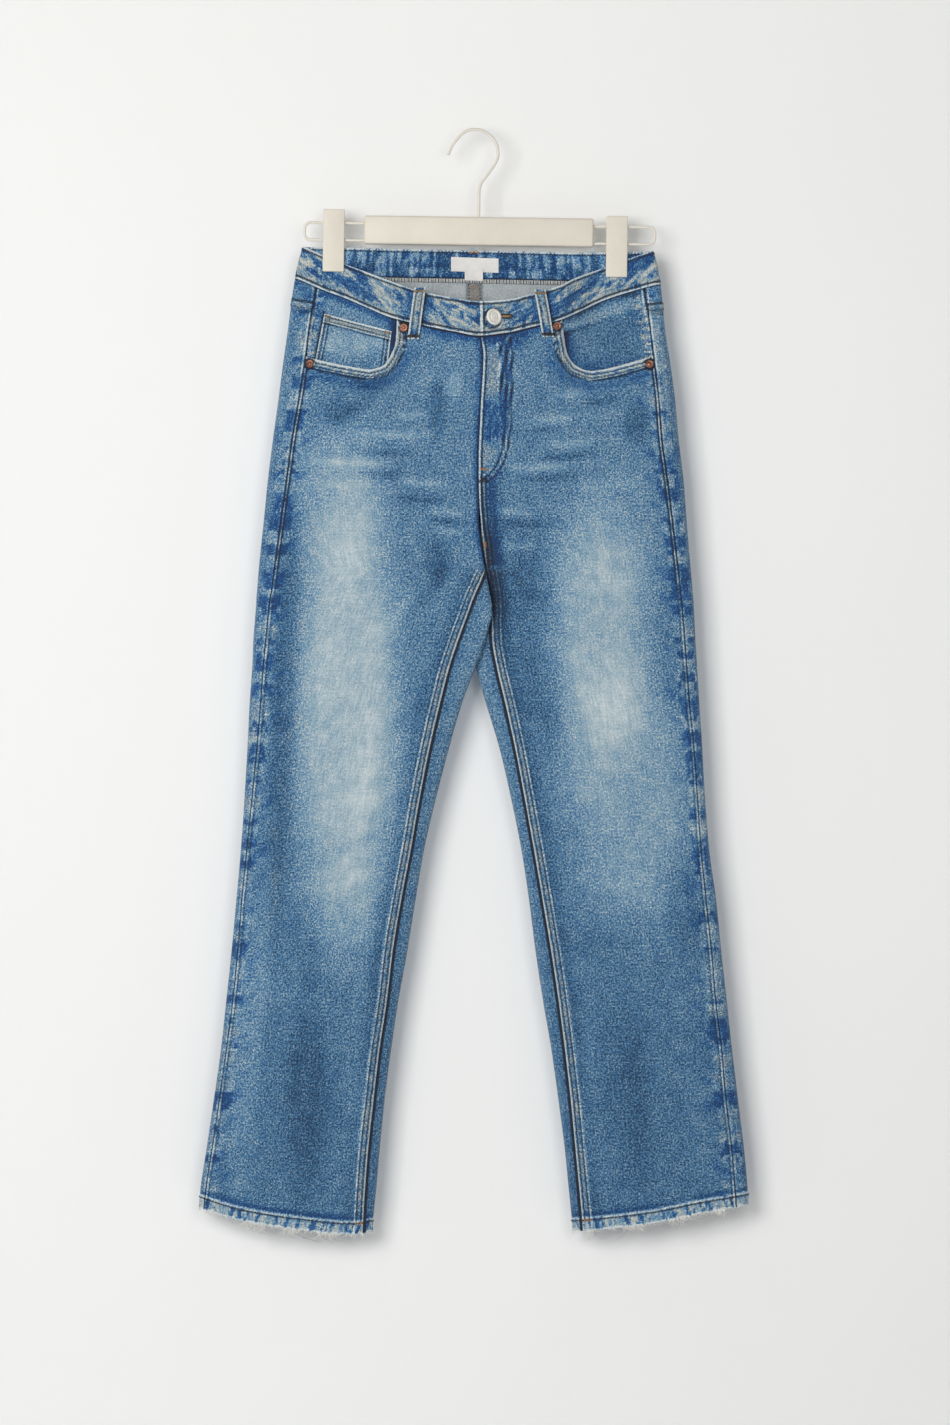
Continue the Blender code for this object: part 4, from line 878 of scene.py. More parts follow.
def leg_levels(first):
    """Levels from one drop to the hem, finer in the hem."""
    upper = np.arange(first, HEM_FINE_FROM, ROW_STEP)
    return np.concatenate([upper, np.arange(HEM_FINE_FROM, HEM_LEVEL, 1.0), [HEM_LEVEL]])


def front_patch(side):
    """A front: from the waistband's seam and the pocket mouth down to the hem."""
    mouth = curve(POCKET_MOUTH[side], 120)
    start = inner_reach(side, FRONT, monotone(FRONT_BAND, 2, side * 5.0))
    inner = blend(start, mouth[0, 0], np.linspace(0, 1, 40))
    seam = np.stack([inner, monotone(FRONT_BAND, 2, side * inner)], axis=1)
    share = spaced(FRONT_SPAN, COLUMN_STEP, 1.0, 12.0, 10.0)
    edges = []
    for route, shares in ((seam, share[share < MOUTH_SHARE] / MOUTH_SHARE),
                          (mouth, (share[share >= MOUTH_SHARE] - MOUTH_SHARE) / (1 - MOUTH_SHARE))):
        gone = gone_along(route)
        edges.append(picked(shares * gone[-1], gone, route))
    edge = np.concatenate(edges)
    bottom = blend(inner_reach(side, FRONT, PANEL_STRAIGHT), side_seam(side, PANEL_STRAIGHT), share)
    step = spaced(YOKE_SPAN, ROW_STEP, 1.0, 14.0)[:-1, None]
    reach = [blend(edge[:, 0], bottom, step)]
    drop = [blend(edge[:, 1], PANEL_STRAIGHT, step)]
    for level in leg_levels(PANEL_STRAIGHT):
        low = hem_drop(side, blend(inseam(side, level), side_seam(side, level), share), level)
        reach.append(blend(inseam(side, low), side_seam(side, low), share)[None])
        drop.append((low * np.ones(len(share)))[None])
    reach, drop = np.concatenate(reach), np.concatenate(drop)
    upper = len(step)
    reach[:upper, 0] = inner_reach(side, FRONT, drop[:upper, 0])
    reach[:upper, -1] = side_seam(side, drop[:upper, -1])
    patch = Patch(side, on_front(side, reach, drop), drop, FRONT)
    patch.twist = ((0, 1),)
    patch.mouth = smooth(share, MOUTH_SHARE - 0.01, MOUTH_SHARE + 0.01) * np.ones(drop.shape)
    return patch


def back_patch(side):
    """A back: from the yoke's seam down, wrapped round to the side seam and the inseam."""
    levels = np.concatenate([np.arange(YOKE_LEVEL, PANEL_STRAIGHT, ROW_STEP), leg_levels(PANEL_STRAIGHT)])
    share = spaced(BACK_SPAN, BACK_COLUMN_STEP, 1.2, 12.0, 12.0)
    fine = np.linspace(0, 1, 241)
    stations, drops = [], []
    for level in levels:
        start = float(at_side_seam(side, level))
        end = 2.0 if level <= CROTCH else 2.0 + float(on_front(side, inseam(side, level), level))
        ring = start + (end - start) * fine
        gone = gone_along(shell(side, ring, np.full(len(ring), level)))
        station = np.interp(share * gone[-1], gone, ring)
        drop = np.full(len(share), float(level))
        if level < BACK_STRAIGHT:
            rise = (BACK_STRAIGHT - level) / (BACK_STRAIGHT - YOKE_LEVEL)
            drop = BACK_STRAIGHT - rise * (BACK_STRAIGHT - yoke_seam(side, station))
        elif level > HEM_TILT_FROM:
            drop = hem_drop(side, reach_at(side, station, drop), level)
        station[0] = at_side_seam(side, drop[0])
        if level > CROTCH:
            station[-1] = 2.0 + on_front(side, inseam(side, drop[-1]), drop[-1])
        stations.append(station)
        drops.append(drop)
    stations = np.array(stations)
    patch = Patch(side, stations, np.array(drops))
    patch.face = np.where((stations > 1) & (stations < 2), BACK, FRONT)
    patch.twist = ((-1, -2),)
    return patch


def wear_outseam(p, distance):
    """Blocks of unworn blue on both sides of the side seam, which match across it."""
    down = p.drop
    start = 40.0 * (p.side + 1)
    wide = 8.5 + 3.5 * noise(down / 9.0, distance / 6.0 + 0.2, 61)
    close = plateau(distance, 0.0, wide, 3.0) * smooth(down, 150, 175)
    blocks = noise(down / OUTSEAM_PITCH + start, 0.3, 71)
    blocks += 0.5 * noise(down / 4.5 + start, distance / 5.0, 72)
    deep = smooth(blocks, 0.10, 0.30)
    p.tone += close * (0.11 - 0.38 * deep)
    p.cast(0.35 - 1.35 * deep, close)
    p.mottle = np.where(close > 0.02, -0.9 * close, p.mottle)
    p.rub += 0.30 * close * smooth(noise(down / 1.8 + start, distance / 9.0, 74), 0.2, 0.6)
    teeth = noise((down + 0.6 * distance) / 5.0 + start, distance / 22.0, 73)
    teeth *= plateau(distance, 5.0, 17.0, 9.0)
    p.tone -= 0.16 * np.maximum(teeth, 0.0)
    p.cast(-0.8, np.clip(teeth * 1.2, 0, 0.7))


def wear_hem(p, seed):
    """The turned-up hem: a stitched fold with vertical puckers, a dark line above it, a frayed edge."""
    turned = smooth(p.bottom, HEM_TURN + 0.9, HEM_TURN)
    rope = p.reach + 0.35 * p.bottom
    bars = noise(rope / 2.7, 0.3, seed) + 0.5 * noise(rope / 1.7, 0.3, seed + 1)
    deep = smooth(bars, 0.08, 0.34)
    p.bend += 0.55 * bars * smooth(p.bottom, 22.0, 4.0)
    p.swell += 0.55 * turned - 0.35 * smooth(p.bottom, 1.2, 0.0)
    p.bleach(0.66 - 0.50 * deep, turned * 0.95)
    p.cast(0.5 - 1.5 * deep, turned * 0.9)
    p.mottle = np.maximum(p.mottle, 0.5 * turned)
    above = ridge(p.bottom, HEM_TURN + 4.2, 3.0) * smooth(noise(p.reach / 30.0, 0.7, seed + 2), -1.1, 0.0)
    p.tone -= 0.30 * above
    p.cast(-1.0, 0.8 * above)
    worn_edge = smooth(p.bottom, 2.4 + 1.6 * noise(p.reach / 2.4, 0.6, seed + 3), 0.5)
    p.rub += 1.0 * ridge(p.bottom, HEM_TURN + 0.9, 1.3) + 1.0 * worn_edge
    p.ink += 0.55 * ridge(p.bottom, HEM_TURN - 1.3, 1.1)
    inside = p.bottom < HEM_TURN + 0.5
    p.inner_extra += np.where(inside, HEM_EXTRA, 0.0)
    p.inner_reverse = np.where(inside, 0.0, p.inner_reverse)
    p.inner_tone = np.where(inside, p.tone, p.inner_tone)


def below_crotch(p):
    return smooth(p.drop, CROTCH - 3.0, CROTCH + 5.0)


def wear_front_inseam(p, below):
    """The felled inseam with painted shade beside its band, and on the left leg the painted shade of the
    right one, which hangs in front.
    """
    band = plateau(p.first, 1.0, INSEAM_BAND, 0.8) * below
    p.swell += 0.75 * band - 0.45 * below * smooth(p.first, 1.0, 0.0)
    p.pucker(band * 0.8, p.drop / 3.6, 21 + p.side, 0.4)
    p.marble(0.8 * band, p.drop / 3.4, p.first / 9.0, 31 + p.side, 0.20, 0.10, 0.05)
    p.bleach(0.58, 0.5 * band)
    p.cast(0.45, 0.7 * band)
    p.mottle = np.where(band > 0.05, -1.0 * band, p.mottle)
    p.rub += below * (1.3 * smooth(p.first, 2.0, 1.0) + 0.75 * ridge(p.first, INSEAM_BAND - 0.1, 0.7))
    p.cast(0.0, 0.8 * below * smooth(p.first, 2.4, 1.2))
    # painted shade: a dark line in the groove just beside the raised band
    p.ink += below * 0.35 * ridge(p.first, INSEAM_BAND + 1.6, 1.1)
    rows = below * smooth(p.bottom, HEM_TURN - 0.5, HEM_TURN + 1.5)
    p.ink += 0.6 * rows * (ridge(p.first, 3.2, 0.8) + ridge(p.first, INSEAM_BAND - 1.9, 0.8))
    # painted shade in the ditch beside the band
    p.tone -= 0.12 * below * ridge(p.first, INSEAM_BAND + 6.0, 6.0)
    # painted shade of the right leg, which hangs in front of the left one near the crotch: darker tone, less
    # worn paleness and a dark line along the seam there
    if p.side == LEFT:
        p.tone -= 0.42 * (below * smooth(p.drop, 545.0, 470.0) * smooth(p.first, 22.0, 6.0))
        p.rub *= 1 - 0.8 * smooth(p.drop, 505.0, 470.0) * smooth(p.first, 14.0, 8.0)
        hidden = 0.35 * smooth(p.drop, 500.0, 470.0) * smooth(p.drop, 330.0, 420.0)
        p.ink += hidden * smooth(p.first, 10.0, 3.0)


def wear_front_outseam(p):
    """The side seam: a pale ridge between a groove, painted dark as shade, and a row of dashes."""
    worn = smooth(noise(p.drop / 9.0, 0.4, 81 + p.side), -0.6, 0.2)
    worn = np.maximum(worn, smooth(p.drop, 330.0, 300.0))
    upper = smooth(p.drop, 470.0, 420.0)
    p.swell += 0.5 * ridge(p.last, 1.5, 0.9) - 0.5 * smooth(p.last, 0.8, 0.0)
    p.rub += (0.75 + 0.35 * upper) * worn * ridge(p.last, 1.7, 0.8)
    # painted shade in the groove at the seam, then a row of dark dashes
    groove = smooth(p.last, 0.9 + 0.8 * upper, 0.2 + 0.6 * upper)
    p.ink += 1.0 * groove + (0.4 + 0.5 * upper) * ridge(p.last, 3.6, 0.9)
    p.cast(0.0, 0.7 * ridge(p.last, 1.7, 1.4))


def wear_band_seam(p):
    """The front's seam under the waistband, with painted shade below the band: a dark line along the seam
    and a darker, fuller blue strip under it.
    """
    seam = 1 - p.mouth
    # painted shade under the band: a darker, fuller blue strip
    shade = seam * smooth(p.top, 14.0 + 6.0 * noise(p.reach / 13.0, 0.3, 83), 4.0)
    p.tone -= 0.20 * shade
    p.cast(-0.9, 0.9 * shade)
    p.pucker(seam * ridge(p.top, 0.0, 12.0), p.reach / 5.0, 47 + p.side, 0.4)
    # painted shadow line right under the band
    p.ink += 1.1 * seam * smooth(p.top, 2.8, 1.2)


def wear_mouth(p):
    """The pocket mouth: a frayed edge, a stitched fold, darker cloth below it, and the rivets."""
    away = from_path(p.reach, p.drop, POCKET_MOUTH[p.side])
    away = away + 0.3 * noise(p.reach / 1.7 + p.drop / 1.7, 0.5, 45)
    fold = plateau(away, -1.0, MOUTH_FOLD, 0.7)
    p.swell += 0.9 * fold - 0.3 * smooth(away, 1.0, 0.0)
    around = p.reach / 4.0 + p.drop / 5.0
    p.pucker(fold, around, 41 + p.side, 0.3)
    p.bleach(0.60, 0.85 * fold)
    p.cast(0.5, 0.8 * fold)
    p.marble(0.55 * fold, around, away / 12.0, 43 + p.side, 0.2, 0.08, 0.2)
    p.mottle = np.maximum(p.mottle, 0.7 * fold)
    worn = 1.5 * smooth(away, 2.9, 1.3) + 0.5 * ridge(away, 5.4, 0.8)
    p.rub += worn + 0.4 * ridge(away, MOUTH_FOLD - 0.3, 0.6)
    rows = 0.45 * (ridge(away, 3.8, 0.7) + ridge(away, 7.4, 0.8))
    p.ink += rows + 0.8 * ridge(away, MOUTH_FOLD + 1.1, 0.9)
    under = ridge(away, MOUTH_FOLD + 7.0, 6.5) * smooth(p.drop, 205.0, 225.0)
    p.tone -= 0.16 * under
    p.cast(-0.8, 0.8 * under)
    p.bend -= 1.1 * p.mouth * smooth(p.top, 9.0, 0.0)
    for _, side, x, drop in RIVETS:
        if side == p.side:
            away = np.hypot(p.reach - side * x, p.drop - drop)
            p.ink += 1.2 * ridge(away, 4.9, 1.0)
            p.bend -= 0.5 * ridge(away, 0.0, 7.0)


def dress_front(p):
    below = below_crotch(p)
    above = 1 - below
    if p.side == RIGHT:
        # painted shade of a soft fold: a greyish cast beside the side seam, all down the thigh
        p.sand += 0.20 * plateau(p.drop, 380.0, 760.0, 60.0) * ridge(p.last, 27.0 + 0.01 * p.drop, 11.0)
    wear_outseam(p, p.last)
    wear_front_inseam(p, below)
    wear_front_outseam(p)
    wear_band_seam(p)
    wear_mouth(p)
    wear_hem(p, 51 + p.side)
    if p.side == LEFT:
        dress_fly(p)
    else:
        # the right front's edge by the fly: sunk, with a painted shade line along it and a darker, fuller
        # blue strip beside it
        p.swell -= 0.9 * above * smooth(p.first, 4.0, 0.0)
        p.ink += 0.7 * above * smooth(p.first, 2.8, 0.5)
        dark = above * smooth(p.first, 9.0 + 4.0 * noise(p.drop / 20.0, 0.5, 85), 2.0)
        p.tone -= 0.16 * dark
        p.cast(-0.8, 0.8 * dark)


def window(value, start, full, fade, end):
    """0 up to start, 1 from full to fade, 0 again from end."""
    return smooth(value, start, full) * smooth(value, end, fade)


def dress_fly(p):
    """The left front laps over the right one: a pale folded edge and a lighter placket strip."""
    above = smooth(p.drop, CROTCH + 2.0, CROTCH - 6.0)
    x = p.reach
    wave = 4.0 * noise(p.drop / 12.0, 0.4, 87)
    p.swell += above * (1.0 * smooth(p.first, 30.0, 22.0) - 0.5 * smooth(p.first, 0.9, 0.0))
    under = 15.4 + 3.0 * np.clip((p.drop - 215.0) / 54.0, 0, 1)
    placket = plateau(p.first, 3.5, under - 0.8, 1.0) * above
    strip = window(p.drop, 214, 224, 268, 280) + window(p.drop, 306, 316, 334, 338)
    p.tone += placket * 0.07 * strip
    p.cast(0.45, placket * strip)
    deep = window(p.drop, 262, 280, 304, 322) * smooth(x, 8.0, 13.0) * smooth(x, 38.0, 31.0 + wave)
    beside = window(p.drop, 206, 214, 268, 292) * smooth(x, 25.5, 28.0) * smooth(x, 41.0, 35.0 + wave)
    edge = window(p.drop, 318, 334, 345, 352) * smooth(x, 34.0, 26.0) * smooth(x, 18.0, 24.0)
    # top is painted shade right under the band; deep, beside and edge are fuller blue zones by the fly
    top = smooth(p.drop, 224.0 + wave, 214.0) * smooth(x, 60.0, 40.0)
    raw_blue_and_shade = above * np.clip(deep + 0.8 * beside + 0.7 * edge + 0.8 * top, 0, 1)
    p.tone -= 0.26 * raw_blue_and_shade
    p.cast(-1.0, raw_blue_and_shade)
    p.mottle = np.maximum(p.mottle, 0.8 * raw_blue_and_shade)
    step = window(p.drop, 208, 216, 262, 290)
    p.rub += above * 1.0 * ridge(p.first, under, 0.8) * step
    p.ink += above * 0.9 * ridge(p.first, under + 2.2, 0.9) * step
    dip = above * 0.9 * smooth(p.first, under, under + 2.0)
    p.bend -= dip * smooth(p.first, under + 10.0, under + 5.0) * step
    p.rub += above * 1.25 * ridge(p.first, 1.2, 1.0)
    p.ink += above * (0.7 * smooth(p.first, 0.4, 0.0) + 0.95 * ridge(p.first, 3.4, 0.8))
    p.cast(0.0, above * ridge(p.first, 1.2, 1.5))
    for row in j_rows():
        away = from_path(p.points[..., 0], p.drop, row)
        p.ink += 0.75 * ridge(away, 0.0, 0.9)
        p.rub += 0.35 * ridge(away, 2.3, 0.8)
        p.swell += 0.25 * ridge(away, 2.4, 1.2) - 0.3 * ridge(away, 0.0, 0.9)
    below_j = smooth(p.drop, 344, 350) * above
    p.tone += below_j * 0.12 * plateau(p.first, 0.0, 7.0, 1.5)
    p.ink += below_j * 0.6 * (ridge(p.first, 2.9, 0.7) + ridge(p.first, 7.4, 0.8))
    # painted shade in the crotch valley: a dark band near the fly's edge from about 400 down, and a darker,
    # fuller blue valley beside the felled seam below the J
    p.ink += 0.34 * above * smooth(p.drop, 388.0, 412.0) * ridge(p.first, 9.0, 6.5)
    valley = below_j * ridge(p.first, 13.0, 6.5)
    p.tone -= 0.38 * valley
    p.cast(-0.6, valley)


def j_rows():
    """The two sewn rows of the fly's J."""
    return [[(x - shift, drop - 0.2 * shift) for x, drop in J_STITCH] for shift in (0.0, J_SHIFT)]


def dress_back(p):
    below = below_crotch(p)
    above = 1 - below
    wear_outseam(p, p.first)
    p.swell += 0.25 * ridge(p.first, 1.2, 0.9) - 0.4 * smooth(p.first, 0.7, 0.0)
    p.rub += (0.35 + 0.7 * smooth(p.drop, 270.0, 235.0)) * ridge(p.first, 1.4, 0.9)
    p.ink += 0.8 * smooth(p.first, 0.45, 0.0)
    # the inseam and, above the crotch, the centre-back seam, felled on the left half
    felled = above if p.side == LEFT else 0.0 * above
    band = plateau(p.last, 0.8, 9.0, 0.8) * felled
    p.swell += 0.7 * band
    p.pucker(band, p.drop / 4.0, 25, 0.3)
    p.marble(band, p.drop / 6.0, p.last / 30.0, 35, 0.2, 0.18, 0.0)
    p.rub += felled * (0.9 * ridge(p.last, 0.9, 0.8) + 0.4 * ridge(p.last, 9.0, 0.8))
    p.ink += 1.1 * smooth(p.last, 3.3, 1.9) * below + 0.9 * smooth(p.last, 0.5, 0.0) * above
    rows = 0.5 * ridge(p.last, 10.6, 1.0) + 0.4 * ridge(p.last, 2.6, 0.7) + 0.4 * ridge(p.last, 7.4, 0.7)
    p.ink += felled * rows
    p.tone -= 0.10 * ridge(p.last, 5.0, 5.0) * (1 - felled)
    # the yoke's seam, felled below its line
    band = plateau(p.top, 0.8, 8.5, 0.8)
    p.swell += 0.6 * band
    p.pucker(band, p.reach / 4.2, 27, 0.3)
    p.bleach(0.60, 0.85 * band)
    p.marble(0.6 * band, p.reach / 6.5, p.top / 20.0, 37, 0.22, 0.08, 0.2)
    p.rub += 1.1 * ridge(p.top, 0.9, 0.8) + 0.6 * ridge(p.top, 8.6, 0.7)
    p.ink += 0.8 * smooth(p.top, 0.5, 0.0) + 0.5 * ridge(p.top, 10.4, 1.0)
    p.ink += 0.4 * (ridge(p.top, 2.8, 0.7) + ridge(p.top, 7.0, 0.7))
    wear_hem(p, 55 + p.side)


def leg_pieces(side, denim):
    word = WORD[side]
    front, back = front_patch(side), back_patch(side)
    dress_front(front)
    front.close(f"front_{word}", CLOTH_WALL, denim, f"front_panel_{word}", FRONT_CUT, f"waistband_{word}")
    dress_back(back)
    back.close(f"back_{word}", CLOTH_WALL, denim, f"back_panel_{word}", BACK_CUT, f"yoke_{word}")
    return front, back


# ---------------------------------------------------------------- yokes and waistband

def yoke(side, denim):
    stations = even_stations(side, float(at_side_seam(side, MID_BAND)), 2.0, MID_YOKE, 110)
    top, bottom = edge_on(side, stations, 2), yoke_seam(side, stations)
    drops = np.array([blend(top, bottom, v) for v in np.linspace(0, 1, 20)])
    grid = np.repeat(stations[None], 20, axis=0)
    grid[:, 0] = at_side_seam(side, drops[:, 0])
    p = Patch(side, grid, drops)
    wear_outseam(p, p.first)
    p.ink += 0.7 * smooth(p.top, 1.8, 0.2) + 0.8 * smooth(p.first, 0.45, 0.0)
    p.rub += 1.0 * ridge(p.first, 1.5, 0.9)
    p.tone -= 0.10 * smooth(p.top, 7.0, 1.0) + 0.08 * smooth(p.bottom, 4.0, 0.5)
    p.inner_tone += 0.05 * noise(p.reach / 14.0, p.drop / 10.0, 91)
    p.inner_tone -= 0.34 * smooth(p.last, 7.0, 5.6)
    p.inner_ink += 0.5 * ridge(p.last, 7.2, 0.9)
    word = WORD[side]
    return p.close(f"back_yoke_{word}", CLOTH_WALL, denim, f"yoke_{word}", YOKE_CUT, f"waistband_{word}")


def band_patch(side):
    front = even_stations(side, 0.0, 1.0, MID_BAND, 110)
    back = even_stations(side, 1.0, 2.0, MID_BAND, 90)
    stations = np.concatenate([front, back[1:]])
    share = spaced(BAND_SPAN, 2.0, 0.8, 5.0, 5.0)
    drops = blend(edge_on(side, stations, 1), edge_on(side, stations, 2), share[:, None])
    p = Patch(side, stations[None] * np.ones(drops.shape), drops)
    if side == RIGHT:
        # its end passes behind the left one, where the button is sewn
        front_x = CENTRE[0][1]
        lap = np.linspace(BUTTON_LAP, front_x + 0.5, 18)
        ends = blend(monotone(FRONT_BAND, 1, lap) + 1.0, monotone(FRONT_BAND, 2, lap) - 1.0, share[:, None])
        behind = Patch(LEFT, on_front(LEFT, lap * np.ones(ends.shape), ends), ends)
        depth = BAND_WALL + SEAM_GAP
        dive = smooth(p.points[..., :1], front_x - LAP_DIVE, front_x) * (stations[None, :, None] < 1.0)
        behind.points = behind.points - behind.normals * depth
        p.points = p.points - p.normals * depth * dive
        for name in ("points", "drop", "normals", "bend", "tone", "face", *FIELDS):
            setattr(p, name, np.concatenate([getattr(behind, name), getattr(p, name)], axis=1))
        p.measure()
    return p


def dress_band(p, seed):
    """A folded strip: long blue streaks and rows of small puckers between pale worn edges."""
    along_band = p.first
    front = smooth(p.normals[..., 1], 0.3, -0.3)
    slanted = p.top + BAND_SLANT * along_band * front
    p.down = slanted
    p.across = p.first.mean(axis=0) * np.ones(p.drop.shape)
    edges = smooth(np.minimum(p.top, p.bottom), 0.0, 1.6)
    p.bend[:] = 0.0
    streaks = noise(along_band / 34.0, slanted / 6.0, seed)
    streaks += 0.4 * noise(along_band / 9.0, slanted / 3.0, seed + 1)
    streaks = smooth(streaks, 0.15, 0.37) * smooth(p.bottom, 5.0, 13.0)
    dots = noise(along_band / 4.4, slanted / 5.0, seed + 2)
    dots += 0.3 * noise(along_band / 12.0, p.top / 9.0, seed + 4)
    dots = smooth(dots, 0.32, 0.55) * smooth(p.top, 3.0, 10.0)
    deep = np.clip(1.0 * streaks + 0.8 * dots, 0, 1)
    for _, side, top_x, top_drop, low_x, low_drop in FRONT_LOOPS:
        if side == p.side:
            middle = top_x + (low_x - top_x) * (p.drop - top_drop) / (low_drop - top_drop)
            beside = front * ridge(np.abs(p.points[..., 0] - middle), 9.0, 4.0)
            deep = np.clip(deep + 0.9 * beside, 0, 1)
            # painted shadow of the loop on the band, just to its right as seen from the front
            p.ink += 0.7 * front * ridge(p.points[..., 0] - middle, 6.8, 1.3)
    p.tone = 0.63 + 0.05 * noise(along_band / 30.0, p.top / 12.0, seed + 9) - 0.49 * deep
    p.sand = 0.75 - 1.75 * deep
    p.mottle[:] = -0.7
    p.pucker(0.5 + 0.5 * ridge(p.bottom, 4.0, 4.0), along_band / 4.5 + 0.1 * p.top, seed + 3, 0.4)
    p.bend += (0.6 * noise(along_band / 22.0, slanted / 6.0, seed) - 0.3 * deep) * edges
    p.swell += 0.5 * edges - 0.5
    p.swell -= 0.35 * ridge(p.top, 3.0, 0.9) + 0.35 * ridge(p.bottom, 3.2, 0.9)
    p.rub += 1.15 * smooth(p.top, 1.6, 0.8) + 1.1 * smooth(p.bottom, 1.7, 0.9)
    p.cast(0.0, np.clip(smooth(p.top, 2.4, 1.4) + smooth(p.bottom, 2.4, 1.4), 0, 1))
    p.ink += 0.65 * ridge(p.top, 2.9, 0.9) + 0.85 * ridge(p.bottom, 3.2, 1.0)
    # inside: the same cloth, with upright bars between its seams
    bars = noise(p.across / 3.6, p.top / 34.0, seed + 5)
    bars += 0.45 * noise(p.across / 1.9, p.top / 14.0, seed + 6)
    p.inner_tone = 0.08 + 0.50 * smooth(bars, 0.02, 0.42)
    p.inner_tone += 0.06 * noise(along_band / 18.0, p.top / 9.0, seed + 7)
    p.inner_mottle[:] = 0.5
    p.inner_sand[:] = -0.5
    p.inner_reverse[:] = 0.0
    # a crease inside the band: painted shade along it and a painted highlight, the shine, beside it
    crease = ridge(p.top, 17.0 + 2.5 * noise(along_band / 30.0, 0.4, seed + 8), 1.5)
    p.inner_tone -= 0.30 * (crease * ridge(p.last, 52.0, 34.0))
    shine = 0.35 * ridge(p.top, 21.0, 3.0) * ridge(p.last, 46.0, 26.0)
    p.inner_rub += 1.2 * smooth(p.top, 1.9, 1.0) + shine
    p.inner_ink += 0.35 * ridge(p.top, 2.9, 1.0) + 0.9 * plateau(p.bottom, 0.2, 4.6, 0.6)


def dress_band_end(p):
    """The left band's end, worn round its button and buttonhole."""
    x = p.points[..., 0] - BUTTON_X
    p.swell -= 0.4 * smooth(p.first, 1.2, 0.0)
    p.rub += 1.2 * ridge(p.first, 1.3, 1.2)
    p.ink += 0.5 * ridge(p.first, 3.8, 0.9)
    near = smooth(np.hypot((x - 8.0) / 22.0, (p.drop - BUTTON_DROP) / 13.0), 1.2, 0.4)
    rays = noise(np.arctan2(p.drop - BUTTON_DROP, x - 4.0) * 2.6, 0.5, 131)
    # a painted shadow ring round the button, a little below its middle
    p.ink += 0.9 * ridge(np.hypot(x / 0.82, p.drop - BUTTON_DROP - 0.8), 9.6, 1.2)
    p.bleach(0.56 - 0.26 * smooth(rays, 0.1, 0.5), 0.8 * near)
    p.cast(0.7, 0.8 * near)
    p.bend += 0.5 * near * rays


def waistband(side, denim):
    p = band_patch(side)
    dress_band(p, 101 + 10 * side)
    if side == LEFT:
        dress_band_end(p)
    word = WORD[side]
    name, node, rests = f"band_{word}", f"waistband_{word}", f"clip_{word}_front"
    return p.close(name, BAND_WALL, denim, node, BAND_CUT[side], rests)


# ---------------------------------------------------------------- pockets and fly

def pocket_facing(side, denim):
    mouth_reach = POCKET_MOUTH[side][0][0]
    share = np.linspace(0, 1, 60)
    rows = np.linspace(0, 1, 50)[:, None]
    inner = mouth_reach - 7.0
    top_reach = blend(side_seam(side, MID_BAND), inner, share)
    top = monotone(FRONT_BAND, 2, side * top_reach)
    low_reach = blend(side_seam(side, FACING_FOOT), inner, share)
    foot = monotone(FRONT_BAND, 2, side * mouth_reach) + FACING_BELOW_MOUTH
    drop = blend(top, np.maximum(foot, FACING_FOOT - 6.0 * share), rows)
    reach = blend(top_reach, low_reach, rows)
    reach[:, 0] = side_seam(side, drop[:, 0])
    p = Patch(side, on_front(side, reach, drop), drop, FRONT)
    room = COIN_WALL + LAYER_GAP if side == RIGHT else 0.0
    depth = CLOTH_WALL / 2 + LAYER_GAP + room + POCKET_WALL / 2
    under_top = np.maximum(smooth(rows, 0.0, 0.2), smooth(reach, mouth_reach + 14, mouth_reach + 3))
    under_side = np.maximum(smooth(share, 0.0, 0.07), smooth(drop, 210.0, 222.0))
    p.points = p.points - p.normals * (depth * under_top * under_side)[..., None]
    p.measure()
    p.bend[:] = 0.0
    p.tone = (0.42 if side == RIGHT else 0.30) + 0.07 * noise(p.reach / 20.0, p.drop / 14.0, 111 + side)
    # painted shade inside the pocket: deep in its corner, under the band's seam and towards the facing's
    # foot
    corner = smooth(p.last, 26.0, 10.0) * (smooth(p.drop, 196.0, 208.0) if side == LEFT else 1.0)
    dark = np.clip(smooth(p.top, 9.0, 3.0) + corner + 0.5 * smooth(p.drop, 222.0, 238.0), 0, 1)
    p.tone -= 0.30 * dark
    p.ink += (0.6 if side == RIGHT else 0.8) * corner * smooth(p.last, 20.0, 8.0)
    p.cast(-0.9, dark)
    p.ink += 0.8 * smooth(p.top, 1.8, 0.2) + 1.0 * smooth(p.first, 1.7, 0.8)
    p.rub += 0.9 * ridge(p.first, 2.7, 0.8)
    wear_outseam(p, p.first)
    if side == RIGHT:
        # the coin pocket's shadow
        p.ink += 0.75 * smooth(from_path(p.reach, p.drop, (COIN_POCKET[0], COIN_POCKET[3])), 3.4, 0.8)
    else:
        # a fold that runs down from the pocket's corner: painted light on the paler, sandier cloth above it
        # and a painted shade line below it
        fold = ((p.reach - 92.0) * 15.0 + (p.drop - 201.0) * 44.0) / math.hypot(15.0, 44.0)
        p.bend += 0.6 * ridge(fold, 0.0, 2.2)
        p.tone += 0.20 * smooth(fold, 1.5, -2.0) * smooth(p.top, 2.0, 5.0)
        p.cast(0.3, 0.8 * smooth(fold, 1.5, -2.0))
        p.ink += 0.35 * ridge(fold, 2.6, 1.6) * smooth(p.reach, 145.0, 100.0)
    p.inner_reverse *= 0.8
    name, node, rests = (f"{word}_{WORD[side]}" for word in ("facing", "pocket_facing", "waistband"))
    return p.close(name, POCKET_WALL, denim, node, FACING_CUT, rests)


